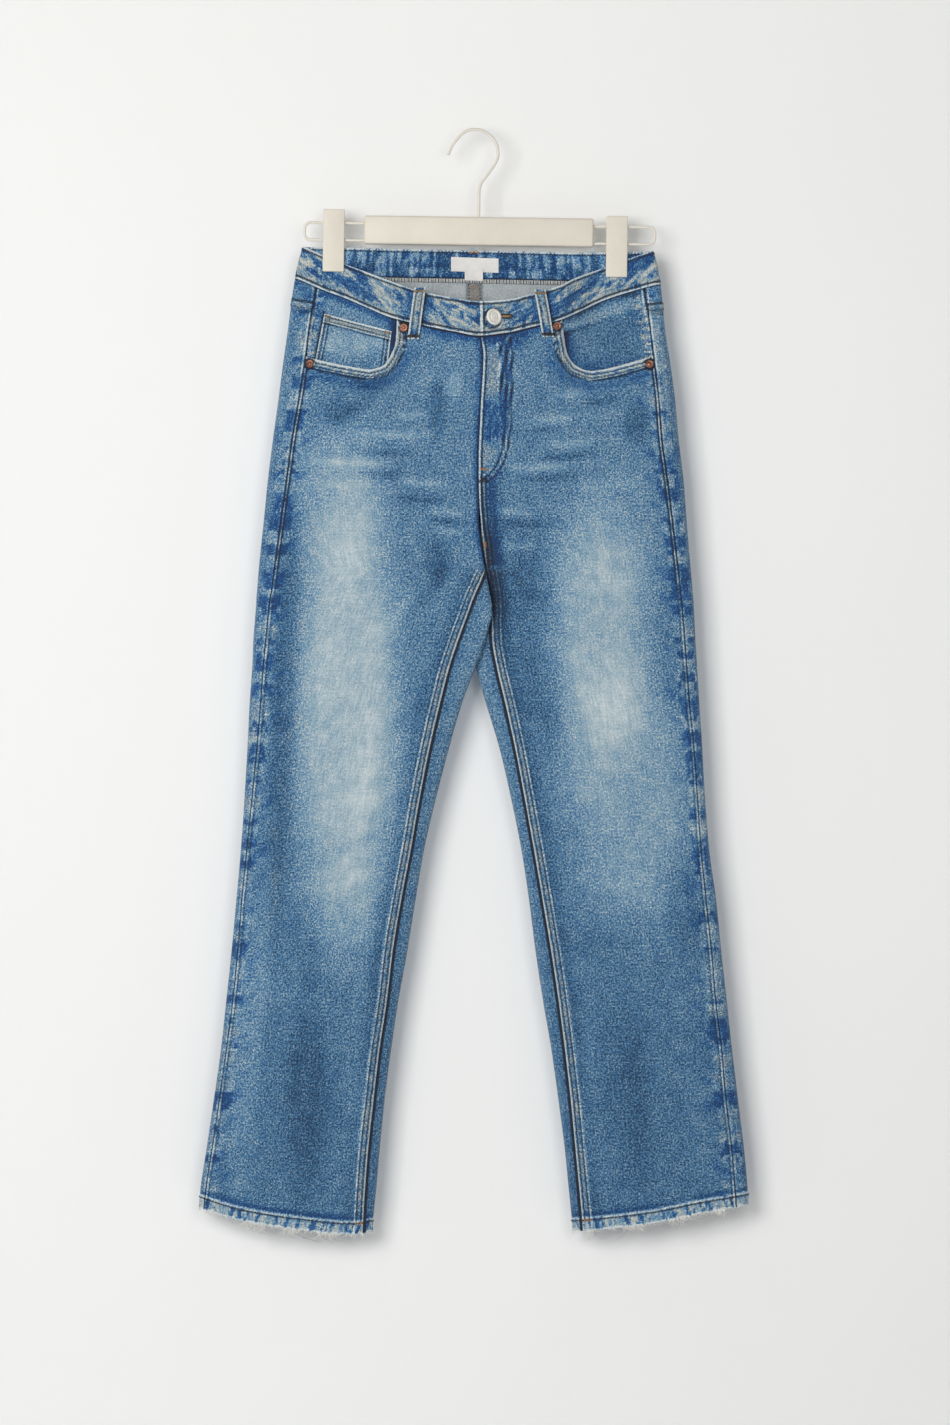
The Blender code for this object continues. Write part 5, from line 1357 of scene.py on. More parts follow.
def coin_pocket(denim):
    reach, drop = quad_grid(COIN_POCKET, 44, 48)
    p = Patch(RIGHT, on_front(RIGHT, reach, drop), drop, FRONT)
    p.bend[:] = 0.0
    p.tone = 0.50 + 0.06 * noise(p.reach / 16.0, p.drop / 12.0, 121)
    p.tone += 0.12 * ridge(p.drop, 213.0, 9.0) - 0.16 * smooth(p.drop, 220.0, 238.0)
    fold = plateau(p.top, 0.0, COIN_HEM, 0.7)
    strip = plateau(p.edge, 0.0, COIN_SIDE, 0.8)
    rim = np.clip(smooth(p.top, 2.0, 0.9) + smooth(p.edge, 1.9, 0.9), 0, 1)
    p.swell += 0.3 * fold + 0.2 * strip * (1 - fold) - 0.25 * smooth(np.minimum(p.edge, p.top), 0.9, 0.0)
    p.pucker(fold, p.reach / 3.4, 123, 0.3)
    p.bleach(0.66, 0.85 * fold)
    p.tone -= 0.08 * strip * (1 - fold)
    p.sand = blend(p.sand, 0.8, fold) * (1 - rim)
    p.rub += 1.2 * rim + 0.6 * ridge(p.top, COIN_HEM, 0.7) + 0.35 * ridge(p.edge, 4.6, 0.7) * (1 - fold)
    rows = 0.7 * (ridge(p.top, 2.9, 0.6) + ridge(p.top, 6.2, 0.6))
    p.ink += 0.8 * ridge(p.top, COIN_HEM + 1.5, 0.8) + rows
    p.ink += (1 - fold) * 0.6 * (ridge(p.edge, 3.0, 0.7) + ridge(p.edge, 6.5, 0.8))
    offset = -(CLOTH_WALL / 2 + LAYER_GAP + COIN_WALL / 2)
    return p.close("pocket_coin", COIN_WALL, denim, "coin_pocket", COIN_CUT, "pocket_facing_right", offset)


def back_pocket(side, denim):
    share = spaced(BACK_POCKET_WIDTH, 2.4, 1.0, 10.0, 10.0) * 2 - 1
    rows = spaced(BACK_POCKET_HEIGHT, 2.4, 1.0, 14.0, 10.0)[:, None]
    reach = BACK_POCKET_REACH + share * (BACK_POCKET_WIDTH / 2) * (1 - 0.12 * rows)
    low = BACK_POCKET_HEIGHT - BACK_POCKET_TIP * np.abs(share)
    drop = BACK_POCKET_TOP + low * rows - 5.0 * share * (1 - rows)
    p = Patch(side, on_back(side, reach, drop), drop, BACK)
    edge = np.minimum(p.edge, p.bottom)
    fold = plateau(p.top, 0.0, POCKET_HEM, 0.8)
    strip = plateau(edge, 0.0, POCKET_SIDE, 0.8) * (1 - fold)
    p.tone += 0.10 * smooth(np.hypot((p.reach - 84) / 46, (p.drop - 300) / 50), 1.2, 0.3)
    p.swell += 0.45 * fold + 0.35 * strip - 0.3 * smooth(np.minimum(edge, p.top), 0.9, 0.0)
    p.pucker(fold + 0.7 * strip, (p.reach + p.drop) / 4.2, 141 + side, 0.3)
    p.bleach(0.58, 0.7 * fold)
    p.marble(0.8 * fold + 0.6 * strip, (p.reach + p.drop) / 7.0, edge / 20.0, 143 + side, 0.2, 0.14, 0.05)
    p.rub += 1.0 * smooth(p.top, 1.6, 0.5) + 0.9 * smooth(edge, 1.4, 0.4)
    p.ink += 0.35 * ridge(p.top, POCKET_HEM + 1.6, 1.0) + 0.2 * ridge(edge, POCKET_SIDE + 1.6, 1.0)
    offset = CLOTH_WALL / 2 + LAYER_GAP + POCKET_WALL / 2
    name, node, rests = (f"{word}_{WORD[side]}" for word in ("pocket_back", "back_pocket", "back_panel"))
    return p.close(name, POCKET_WALL, denim, node, BACK_POCKET_CUT, rests, offset)


def belt_loop(row, back, denim):
    name, side, top_x, top_drop, low_x, low_drop = row
    rows = spaced(LOOP_SPAN, 2.0, 0.8, 5.0, 5.0)
    across = np.linspace(-0.5, 0.5, 15) * LOOP_WIDTH
    x = blend(top_x, low_x, rows)[:, None] + across
    drop = blend(top_drop, low_drop, rows)[:, None] * np.ones(len(across))
    place = on_back(side, np.abs(x), drop) if back else on_front(side, side * x, drop)
    p = Patch(side, place, drop, BACK if back else FRONT)
    if back:
        p.points[..., 0] = x
    p.points = p.points + p.normals * (LOOP_BOW * np.sin(math.pi * rows) ** 2)[:, None, None]
    p.measure()
    p.bend[:] = 0.0
    spots = smooth(noise(p.first / 3.5, p.drop / 5.0, hash_of(name)), 0.25, 0.5)
    spots = np.maximum(spots, smooth(p.bottom, 13.0, 8.0) * smooth(p.bottom, 3.0, 5.0))
    p.tone = 0.62 - 0.36 * spots * smooth(p.edge, 2.0, 3.0)
    p.sand += 0.8 - 1.5 * spots * smooth(p.edge, 2.0, 3.0)
    # painted shadow along one side of the loop
    shaded = p.last if side * low_x > 0 else p.first
    p.ink += 0.55 * ridge(p.edge, 2.8, 0.7) + 0.5 * smooth(shaded, 0.5, 0.0)
    rise = 0.25 * smooth(p.edge, 0.0, 1.2) - 0.3 * ridge(p.first, 5.0, 0.9)
    p.swell += rise + 0.3 * smooth(p.bottom, 4.4, 3.8)
    worn = 0.9 * smooth(p.edge, 1.5, 0.5) + 0.6 * smooth(p.bottom, 1.4, 0.4)
    p.rub += worn + 0.5 * smooth(p.top, 1.5, 0.4)
    p.ink += 0.35 * ridge(p.bottom, 5.0, 0.9)
    offset = BAND_WALL / 2 + SEAM_GAP + LOOP_WALL / 2
    made, rests = name.replace("loop", "beltloop"), f"waistband_{WORD[side]}"
    return p.close(made, LOOP_WALL, denim, name, LOOP_CUT, rests, offset, "stretched")


def behind_fly(denim, tape):
    """The zip and, behind it, the shield, down to the end of the J stitch. Returns the zip."""
    pieces = (
        # name, node, right x, top drop, low drop, wall, material, slot
        ("zip_tape", "zip", 30.0, 209.0, 344.0, 1.0, tape, "zip_tape"),
        ("fly_shield_cloth", "fly_shield", 42.0, 208.5, 350.0, 1.2, denim, "denim"),
    )
    made = []
    for layer, (name, node, right, top, low, wall, material, slot) in enumerate(pieces):
        corners = ((6.0, top), (right, top), (right - FLY_FOOT_TAPER, low), (6.0, low))
        reach, drop = quad_grid(corners, 56, 14)
        reach = np.maximum(reach, inner_reach(LEFT, FRONT, drop) + SEAM_GAP)
        p = Patch(LEFT, on_front(LEFT, reach, drop), drop, FRONT)
        p.tone[:] = 0.3
        p.inner_tone[:] = 0.4
        p.inner_reverse[:] = 0.0
        offset = -(CLOTH_WALL / 2 + SEAM_GAP + 0.5 + layer * (1.1 + SEAM_GAP))
        made.append(p.close(name, wall, material, node, FLY_CUT[layer], "waistband_left", offset, slot=slot))
    return made[0]


# ---------------------------------------------------------------- materials

class Nodes:
    """One material, its nodes added by short calls."""

    def __init__(self, name, roughness=0.9, metallic=0.0, sheen=0.0):
        self.material = bpy.data.materials.new(name)
        self.material.use_nodes = True
        self.tree = self.material.node_tree
        self.shader = self.tree.nodes["Principled BSDF"]
        self.set(self.shader, {"Roughness": roughness, "Metallic": metallic, "Sheen Weight": sheen,
                               "Sheen Roughness": 0.6})

    def set(self, node, values):
        """Links or sets inputs of a node, by their names or numbers."""
        for key, value in values.items():
            if isinstance(value, bpy.types.NodeSocket):
                self.tree.links.new(value, node.inputs[key])
            else:
                node.inputs[key].default_value = value

    def add(self, kind, values, **settings):
        node = self.tree.nodes.new("ShaderNode" + kind)
        for key, value in settings.items():
            setattr(node, key, value)
        self.set(node, values)
        return node

    def attribute(self, label, output="Fac"):
        return self.add("Attribute", {}, attribute_name=label).outputs[output]

    def place(self):
        """A piece's own coordinates, in metres."""
        return self.add("TexCoord", {}).outputs["Object"]

    def math(self, operation, a, b=0.0):
        return self.add("Math", {0: a, 1: b}, operation=operation).outputs[0]

    def span(self, value, low, high, to_low=0.0, to_high=1.0):
        """An eased step from to_low, where the value is low, to to_high."""
        limits = {"Value": value, "From Min": low, "From Max": high, "To Min": to_low, "To Max": to_high}
        return self.add("MapRange", limits, interpolation_type="SMOOTHSTEP").outputs["Result"]

    def noise(self, vector, scale, detail=2.0, roughness=0.5):
        """Noise from about -1 to 1, at one scale or at one along each axis."""
        scale = (scale,) * 3 if isinstance(scale, float) else scale
        stretch = self.add("VectorMath", {0: vector, 1: scale}, operation="MULTIPLY").outputs[0]
        values = {"Scale": 1.0, "Detail": detail, "Roughness": roughness, "Vector": stretch}
        return self.span(self.add("TexNoise", values).outputs["Fac"], 0.25, 0.75, -1.0, 1.0)

    def stripes(self, vector, direction, pitch):
        """A sine across one direction, from -1 to 1."""
        turns = [2 * math.pi / pitch * part for part in direction]
        dot = self.add("VectorMath", {0: vector, 1: turns}, operation="DOT_PRODUCT")
        return self.math("SINE", dot.outputs["Value"])

    def total(self, *terms):
        """Sum of (value, weight) pairs."""
        result = 0.0
        for value, weight in terms:
            result = self.math("ADD", result, self.math("MULTIPLY", value, weight))
        return result

    def ramp(self, value, stops):
        node = self.add("ValToRGB", {"Fac": value})
        while len(node.color_ramp.elements) < len(stops):
            node.color_ramp.elements.new(0.5)
        for element, (position, colour) in zip(node.color_ramp.elements, stops):
            element.position = position
            element.color = (*colour, 1.0)
        return node.outputs["Color"]

    def mix(self, factor, a, b):
        node = self.add("Mix", {"Factor": factor}, data_type="RGBA")
        sockets = [number for number, socket in enumerate(node.inputs) if socket.type == "RGBA"]
        for number, value in zip(sockets, (a, b)):
            self.set(node, {number: value if isinstance(value, bpy.types.NodeSocket) else (*value, 1.0)})
        return [socket for socket in node.outputs if socket.type == "RGBA"][0]

    def finish(self, colour, height=None, relief=0.3, roughness=None):
        self.set(self.shader, {"Base Color": colour})
        if roughness is not None:
            self.set(self.shader, {"Roughness": roughness})
        if height is not None:
            bump = self.add("Bump", {"Distance": relief * MM, "Height": height})
            self.set(self.shader, {"Normal": bump.outputs["Normal"]})
        return self.material


# Dyes from unworn to washed out, linear: as worn, as new, with the beige cast, and inside out
INDIGO = (
    (0, (0.007, 0.028, 0.07)), (0.25, (0.03, 0.136, 0.305)), (0.5, (0.102, 0.24, 0.388)),
    (0.75, (0.29, 0.41, 0.49)), (1, (0.6, 0.67, 0.7)),
)
RAW = (
    (0, (0.003, 0.034, 0.13)), (0.25, (0.008, 0.105, 0.32)), (0.5, (0.06, 0.19, 0.39)),
    (0.75, (0.24, 0.39, 0.53)), (1, (0.6, 0.67, 0.7)),
)
SANDY = (
    (0, (0.014, 0.034, 0.065)), (0.25, (0.075, 0.12, 0.17)), (0.5, (0.19, 0.255, 0.3)),
    (0.75, (0.4, 0.445, 0.44)), (1, (0.66, 0.67, 0.63)),
)
INSIDE = (
    (0, (0.12, 0.15, 0.18)), (0.5, (0.43, 0.48, 0.51)), (1, (0.7, 0.72, 0.72)),
)


def denim_material():
    n = Nodes("denim", 0.92, 0.0, 0.10)
    place = n.attribute("place", "Vector")
    tone, rub, ink, sand, mottle, reverse = (n.attribute(label) for label in LAYERS)
    grain = n.noise(place, (0.56, 0.48, 1.0), 1.0, 0.5)
    fine = n.noise(place, (1.15, 0.95, 1.0), 1.0, 0.5)
    slub = n.noise(place, (0.55, 0.05, 1.0), 2.0, 0.5)
    weft = n.noise(place, (0.05, 0.60, 1.0), 2.0, 0.5)
    blotch = n.noise(place, (0.085, 0.065, 1.0), 3.0, 0.6)
    upright = n.span(n.noise(place, (0.27, 0.085, 1.0), 2.0, 0.6), -0.5, 0.5, -1.0, 1.0)
    level = n.span(n.noise(place, (0.085, 0.24, 1.0), 2.0, 0.6), -0.5, 0.5, -1.0, 1.0)
    patches = n.total((n.math("MULTIPLY", upright, n.math("MAXIMUM", mottle, 0.0)), 1.0),
                      (n.math("MULTIPLY", level, n.math("MINIMUM", mottle, 0.0)), -1.0))
    quiet = n.span(tone, 0.42, 0.88, 1.0, 0.20)
    quiet = n.math("MULTIPLY", quiet, n.span(reverse, 0.0, 1.0, 1.0, 0.4))
    speck = n.math("MULTIPLY", n.total((grain, 0.66), (fine, 0.72)), quiet)
    # the place on the ramps: how washed and worn the cloth is, lowered by the dark lines and the painted
    # shade
    washed = n.total((tone, 1.0), (speck, GRAIN), (slub, 0.06), (weft, 0.035), (blotch, 0.06),
                     (patches, 0.17), (rub, 0.58), (n.math("MULTIPLY", rub, fine), 0.15), (ink, -0.60))
    outer = n.ramp(washed, INDIGO)
    cast = n.total((sand, 1.0), (patches, 0.8), (blotch, 0.25))
    dusty = n.math("MULTIPLY", n.span(cast, 0.0, 1.0), n.span(rub, 0.1, 0.6, 1.0, 0.2))
    outer = n.mix(dusty, outer, n.ramp(washed, SANDY))
    outer = n.mix(n.span(cast, 0.0, -1.0), outer, n.ramp(washed, RAW))
    colour = n.mix(reverse, outer, n.ramp(washed, INSIDE))
    # near-black where the dark lines are, most of them painted shade in grooves and beside raised edges
    colour = n.mix(n.span(ink, 0.15, 0.9, 0.0, 0.9), colour, (0.005, 0.009, 0.022))
    twill = n.stripes(place, (0.78, 0.62, 0.0), 1.7)
    height = n.total((grain, 0.5), (slub, 0.35), (weft, 0.2), (twill, 0.22))
    return n.finish(colour, height, 0.30)


def thread_material(name, colour, worn):
    n = Nodes(name, 0.75, 0.0, 0.1)
    shade = n.noise(n.place(), 330.0, 2.0, 0.6)
    return n.finish(n.mix(n.span(shade, -0.9, 0.9), colour, worn))


def plain_material(name, colour, marks, roughness, metallic, relief, scale):
    """A nearly even finish: fine relief and faint marks."""
    n = Nodes(name, roughness, metallic)
    place = n.place()
    fine = n.noise(place, scale, 3.0, 0.6)
    broad = n.noise(place, scale / 14, 2.0, 0.5)
    shade = n.span(n.total((fine, 0.4), (broad, 0.6)), -1.0, 1.0)
    rough = n.span(fine, -1.0, 1.0, max(0.05, roughness - 0.07), roughness + 0.07)
    return n.finish(n.mix(shade, marks, colour), fine, relief, rough)


def woven_material(name, colour, shade_colour, pitch):
    """Flat weave on a label or a tape, by its own small coordinates."""
    n = Nodes(name, 0.85, 0.0, 0.1)
    place = n.place()
    warp = n.stripes(place, (1.0, 0.0, 0.0), pitch * MM)
    fill = n.stripes(place, (0.0, 0.0, 1.0), pitch * MM)
    weave = n.math("MULTIPLY", warp, fill)
    cloud = n.noise(place, 90.0, 3.0, 0.6)
    shade = n.span(n.total((weave, 0.35), (cloud, 0.65)), -1.0, 1.0)
    return n.finish(n.mix(shade, shade_colour, colour), weave, 0.12)


# ---------------------------------------------------------------- sewing

STITCH_PITCH = 3.3
STITCH_LENGTH = 2.5
THREAD_RADIUS = 0.42
RING = np.linspace(0, 2 * math.pi, 6)[:-1]
CAPSULE_AT = np.array([-0.42, 0.0, 0.42])
CAPSULE_LIFT = np.array([0.55, 1.0, 0.55])


def resampled(points, normals, step):
    """Middles, directions and normals at even steps along a route."""
    gone = gone_along(points)
    count = int(gone[-1] / step)
    at = (np.arange(count) + 0.5) * gone[-1] / max(count, 1)
    middle = picked(at, gone, np.concatenate([points, normals], axis=1))
    way = unit(picked(at + 0.6, gone, points) - picked(at - 0.6, gone, points))
    return middle[:, :3], way, unit(middle[:, 3:])


def capsules(middle, way, normal, length, radius, lift):
    """Round-ended threads that rise from the cloth in the middle. Returns points and faces."""
    side = unit(np.cross(normal, way))
    up = np.cross(way, side)
    rings = []
    for at, rise in zip(CAPSULE_AT, CAPSULE_LIFT):
        centre = middle + way * (at * length) + up * (lift * rise)
        for turn in RING:
            rings.append(centre + radius * (side * math.cos(turn) + up * math.sin(turn)))
    tips = [middle + way * (end * length * 0.5) - up * (radius * 0.4) for end in (-1, 1)]
    points = np.stack(rings + tips, axis=1)
    faces = []
    for step in range(5):
        after = (step + 1) % 5
        faces.append((15, after, step, step))
        faces.append((16, 10 + step, 10 + after, 10 + after))
        for ring in (0, 5):
            faces.append((ring + step, ring + after, ring + 5 + after, ring + 5 + step))
    numbers = np.arange(len(middle))[:, None, None] * 17
    return points.reshape(-1, 3), (np.array(faces)[None] + numbers).reshape(-1, 4)


def part_of(route, start, end):
    """The part of a route between two distances along it; negative ones count from its end."""
    points, normals = route
    gone = gone_along(points)
    start, end = (at % gone[-1] if at < 0 else at for at in (start, end))
    at = np.linspace(start, min(end, gone[-1]), max(3, int(abs(end - start))))
    cut = picked(at, gone, np.concatenate([points, normals], axis=1))
    return cut[:, :3], cut[:, 3:]


class Thread:
    """Stitches of one colour, gathered into one mesh."""

    def __init__(self, name, material):
        self.name, self.material = name, material
        self.points, self.faces, self.count = [], [], 0

    def add(self, points, faces):
        self.points.append(points)
        self.faces.append(faces + self.count)
        self.count += len(points)

    def row(self, route, pitch=STITCH_PITCH, length=STITCH_LENGTH, radius=THREAD_RADIUS):
        """Dashes along a route."""
        if len(route[0]) > 1:
            middle, way, normal = resampled(*route, pitch)
            if len(middle):
                self.add(*capsules(middle, way, normal, length, radius, 0.12))

    def across(self, route, width, pitch=0.85, radius=0.32, lift=0.3):
        """Close stitches across a route, as in a bartack or round a buttonhole."""
        if len(route[0]) > 1:
            middle, way, normal = resampled(*route, pitch)
            self.add(*capsules(middle, np.cross(normal, way), normal, width, radius, lift))

    def make(self):
        faces = [tuple(dict.fromkeys(face)) for face in np.concatenate(self.faces).tolist()]
        own(add_mesh(self.name, np.concatenate(self.points), faces, self.material), "denim")


class Cast:
    """Finds places on the shown cloth straight in from the front."""

    def __init__(self, *patches):
        self.trees = []
        for p in patches:
            rows, columns = p.drop.shape
            quads = shell_faces(rows, columns, False)[: (rows - 1) * (columns - 1)]
            self.trees.append(BVHTree.FromPolygons(p.outer.reshape(-1, 3).tolist(), quads.tolist()))

    def route(self, places, step=1.5):
        """Points and normals along a polyline of x and drop."""
        count = int(np.sum(np.linalg.norm(np.diff(np.array(places, float), axis=0), axis=1)) / step) + 2
        points, normals = [], []
        way = Vector((0, 1, 0))
        for x, drop in along(places, count):
            hits = [tree.ray_cast(Vector((x, -200.0, -drop)), way) for tree in self.trees]
            hits = [hit for hit in hits if hit[0] is not None]
            if hits:
                hit = min(hits, key=lambda found: found[3])
                points.append(hit[0])
                normals.append(hit[1] if hit[1].dot(way) < 0 else -hit[1])
        return np.array(points), np.array(normals)

    def spot(self, x, drop):
        """One place and its normal, as rows of their arrays, or None where there is no cloth."""
        points, normals = self.route([(x, drop), (x + 0.01, drop)])
        return (points[0], normals[0]) if len(points) else None


def sew_side(side, patches, casts, dark, brown, gold, orange):
    pieces = ("front", "back", "yoke", "band", "pocket")
    front, back, yoke_patch, band, pocket = (patches[name, side] for name in pieces)
    # inseams: two rows in the felled band of the front
    for distance in (3.2, INSEAM_BAND - 1.9):
        dark.row(front.line("first", distance, CROTCH + 8, ABOVE_HEM), 3.6, 2.2, 0.60)
    # hems
    for p in (front, back):
        brown.row(p.line("bottom", HEM_TURN - 1.3), 3.6, 2.6, 0.62)
    # side seams, near the groove
    dark.row(front.line("last", 3.1, 235, ABOVE_HEM), 3.6, 2.2, 0.22)
    # pocket mouth
    for distance in (3.9, 7.5):
        brown.row(casts["fronts"].route(mouth_line(side, distance)), 3.3, 2.2, 0.50)
    # back: yoke fell and seat seam
    for distance in (2.0, 7.6):
        brown.row(back.line("top", distance))
    if side == LEFT:
        for distance in (2.0, 8.0):
            brown.row(back.line("last", distance, 212, CROTCH - 3))
    for edge in ("top", "bottom"):
        brown.row(band.line(edge, 3.0), 3.4, 2.3, 0.62)
    for distance in (2.0, POCKET_SIDE):
        for edge in ("first", "last", "bottom"):
            brown.row(pocket.line(edge, distance, BACK_POCKET_TOP + 1))
    for distance in (2.0, POCKET_HEM):
        brown.row(pocket.line("top", distance))
    # bartacks on the felled inseam at the hem, and at the back pockets' corners
    orange.across(part_of(front.line("bottom", HEM_TURN - 1.4), 1.2, INSEAM_BAND + 0.5), 2.6, 0.8)
    for start, end in ((0.5, 9.0), (-9.0, -0.5)):
        gold.across(part_of(pocket.line("top", 1.8), start, end), 2.4, 0.75)
    # inside the back, at the middle of the yoke and of the band
    orange.across(part_of(yoke_patch.line("last", 2.8, inside=True), 1.0, 24.0), 3.6, 2.2, 0.50)
    brown.row(yoke_patch.line("last", 5.6, inside=True), 3.2, 2.2, 0.55)
    orange.across(part_of(band.line("top", 2.0, inside=True), -5.0, -0.4), 3.0, 0.9)


def sew(patches, casts, dark, brown, gold, orange):
    for side in (RIGHT, LEFT):
        sew_side(side, patches, casts, dark, brown, gold, orange)
    brown.row(patches["band", LEFT].line("first", 3.4), 3.1, 2.5, 0.40)
    # fly: the two rows of the J, and the felled seam below it
    for row in j_rows():
        brown.row(casts["left"].route(row), 3.3, 2.2, 0.50)
    for distance in (2.2, 6.6):
        dark.row(patches["front", LEFT].line("first", distance, 346, 432))
    orange.across(casts["left"].route([(6.0, 339.2), (14.0, 340.0)]), 2.4, 0.8)
    orange.across(casts["left"].route([(10.8, 412.0), (11.4, 418.0)]), 3.0, 0.9)
    coin = patches["coin"]
    for distance in (2.2, COIN_HEM - 1.2):
        dark.row(coin.line("top", distance))
    for edge in ("first", "last"):
        for distance in (2.0, COIN_SIDE):
            dark.row(coin.line(edge, distance))
    for start, end in ((0.5, 7.0), (-7.0, -0.5)):
        gold.across(part_of(coin.line("top", 2.2), start, end), 2.6, 0.75)
    # belt loops: two rows of dashes, a gold bar at the top, a dark one at the foot
    for loop in patches["loops"]:
        for edge in ("first", "last"):
            brown.row(loop.line(edge, 2.6), 3.2, 2.4, 0.26)
        gold.across(loop.line("top", 3.6), 2.4, 0.75, 0.34, 0.35)
        brown.across(loop.line("bottom", 3.0), 3.0, 0.75, 0.36, 0.35)


def overlock(patches, pale, dark):
    """Black and white thread over the lower edge of the waistband's inner side, and dashes near its top."""
    for side in (RIGHT, LEFT):
        band = patches["band", side]
        edge = band.line("bottom", 2.2, inside=True)
        pale.across(edge, 4.4, 1.7, 0.75, 0.2)
        dark.across(edge, 4.0, 3.4, 0.70, 0.45)
        dark.row(band.line("top", 2.8, inside=True), 3.5, 1.6, 0.75)
        pale.row(band.line("top", 1.5, inside=True), 3.5, 1.9, 0.55)


def mouth_line(side, distance):
    """A line in a front, at one distance from the pocket mouth: places of x and drop."""
    path = curve(POCKET_MOUTH[side], 60)
    way = unit(np.gradient(path, axis=0))
    path = path + distance * np.stack([-way[:, 1], way[:, 0]], axis=1)
    path = path[path[:, 1] > monotone(FRONT_BAND, 2, side * path[:, 0]) + 1.5]
    return [(side * reach, drop) for reach, drop in path]


def frayed(route, seed, spacing, length, spread, droop, tufts=()):
    """Loose ends of thread along a worn edge. Returns points and faces."""
    rng = np.random.default_rng(seed)
    middle, way, normal = resampled(*route, spacing)
    thick = np.zeros(len(middle), bool)
    for low, high in tufts:
        thick |= (middle[:, 0] > low) & (middle[:, 0] < high)
    chosen = (rng.uniform(size=len(middle)) < 0.55) | thick
    middle, way, normal, thick = middle[chosen], way[chosen], normal[chosen], thick[chosen]
    down = np.cross(way, normal)
    down *= np.where(down[:, 2:] > 0, -1, 1)
    count = len(middle)
    size = length * rng.uniform(0.3, 1.0, (count, 1)) * np.where(thick[:, None], 2.0, 1.0)
    lean = rng.normal(0, spread, (count, 1))
    out = rng.uniform(0.1, 0.6, (count, 1))
    curl = rng.normal(0, 0.9, (count, 1))
    start = middle - normal * 0.4 - down * 0.4
    radius = rng.uniform(0.26, 0.42, (count, 1)) * np.where(thick[:, None], 1.4, 1.0)
    rings = []
    for share, thin in ((0.0, 1.0), (0.4, 0.9), (0.75, 0.75), (1.0, 0.35)):
        bend = lean * share + curl * share**2
        centre = start + size * share * (down * droop + way * bend + normal * out * (1 - 0.6 * share))
        for turn in (0.0, 2.1, 4.2):
            rings.append(centre + radius * thin * (way * math.cos(turn) + normal * math.sin(turn)))
    faces = [(2, 1, 0), (9, 10, 11)]
    for ring in (0, 3, 6):
        for step in range(3):
            after = (step + 1) % 3
            faces.append((ring + step, ring + after, ring + 3 + after, ring + 3 + step))
    faces = [[part + 12 * number for part in face] for number in range(count) for face in faces]
    return np.stack(rings, axis=1).reshape(-1, 3), faces


def fray(patches, casts, material):
    """Loose ends along the hems and the pocket mouths."""
    points, faces, count = [], [], 0
    for side in (RIGHT, LEFT):
        hem_front, hem_back = (patches[name, side].line("bottom", 0.4) for name in ("front", "back"))
        mouth = casts["fronts"].route(mouth_line(side, 0.7))
        for shape, parts in (
            frayed(hem_front, 301 + side, 0.7, 6.4, 0.5, 0.9, HEM_TUFTS[side]),
            frayed(hem_back, 305 + side, 1.1, 4.6, 0.5, 0.9),
            frayed(mouth, 311 + side, 1.0, 2.2, 0.6, -0.6),
        ):
            points.append(shape)
            faces += [[part + count for part in face] for face in parts]
            count += len(shape)
    own(add_mesh("fray", np.concatenate(points), faces, material), "denim")


# ---------------------------------------------------------------- trims

def lathe(name, centre, normal, profile, material, slot, node, sides):
    """A turned piece on an axis: the profile gives radius and height, from the top down."""
    axis = np.asarray(normal) / np.linalg.norm(normal)
    side = unit(np.cross(axis, (0.0, 0.0, 1.0)))
    up = np.cross(side, axis)
    points = [centre + axis * profile[0][1]]
    for radius, height in profile[1:-1]:
        for step in range(sides):
            turn = 2 * math.pi * step / sides
            points.append(centre + axis * height + radius * (side * math.cos(turn) + up * math.sin(turn)))
    points.append(centre + axis * profile[-1][1])
    faces = []
    rings = len(profile) - 2
    for step in range(sides):
        after = (step + 1) % sides
        faces.append((0, 1 + after, 1 + step))
        for ring in range(rings - 1):
            a = 1 + ring * sides
            faces.append((a + after, a + sides + after, a + sides + step, a + step))
        last = 1 + (rings - 1) * sides
        faces.append((last + after, len(points) - 1, last + step))
    made = add_mesh(name, points, faces, material)
    made.data.set_sharp_from_angle(angle=SHARP_METAL)
    own(made, slot, node)


# Radius and height, from the middle of the cap outwards and down to the cloth
BUTTON_RINGS = (
    (0, 4.3), (1.3, 4.35), (1.7, 4.05), (2.2, 4.35), (3.6, 4.3), (4.1, 3.85), (4.6, 4), (5, 3.85),
    (5.5, 4.35), (6.6, 4.65), (7.5, 4.5), (8.2, 3.9), (8.4, 3.2), (8.2, 2.7), (7.6, 2.3), (5, 1.8),
    (4, 0.9), (4, 0), (0, 0),
)
RIVET_RINGS = (
    (0, 1.7), (0.9, 1.65), (1.5, 1.35), (2, 0.75), (2.6, 0.7), (3.1, 1.2), (3.6, 1.2), (4, 0.8), (4.1, 0.4),
    (4, 0), (0, 0),
)
BUTTON_LEAN = np.array([0.62, 0.0, 0.1])


def trims(casts, metal, copper):
    for name, _, x, drop in RIVETS:
        place, normal = casts["fronts"].spot(x, drop)
        cap = name.replace("rivet", "rivet_cap")
        lathe(cap, place - normal * 0.25, normal, RIVET_RINGS, copper, "rivet_copper", name, 28)
    place, normal = casts["bands"].spot(BUTTON_X, BUTTON_DROP)
    place, normal = place + normal * 0.6, normal + BUTTON_LEAN
    lathe("fly_button", place, normal, BUTTON_RINGS, metal, "button_metal", "button", 56)


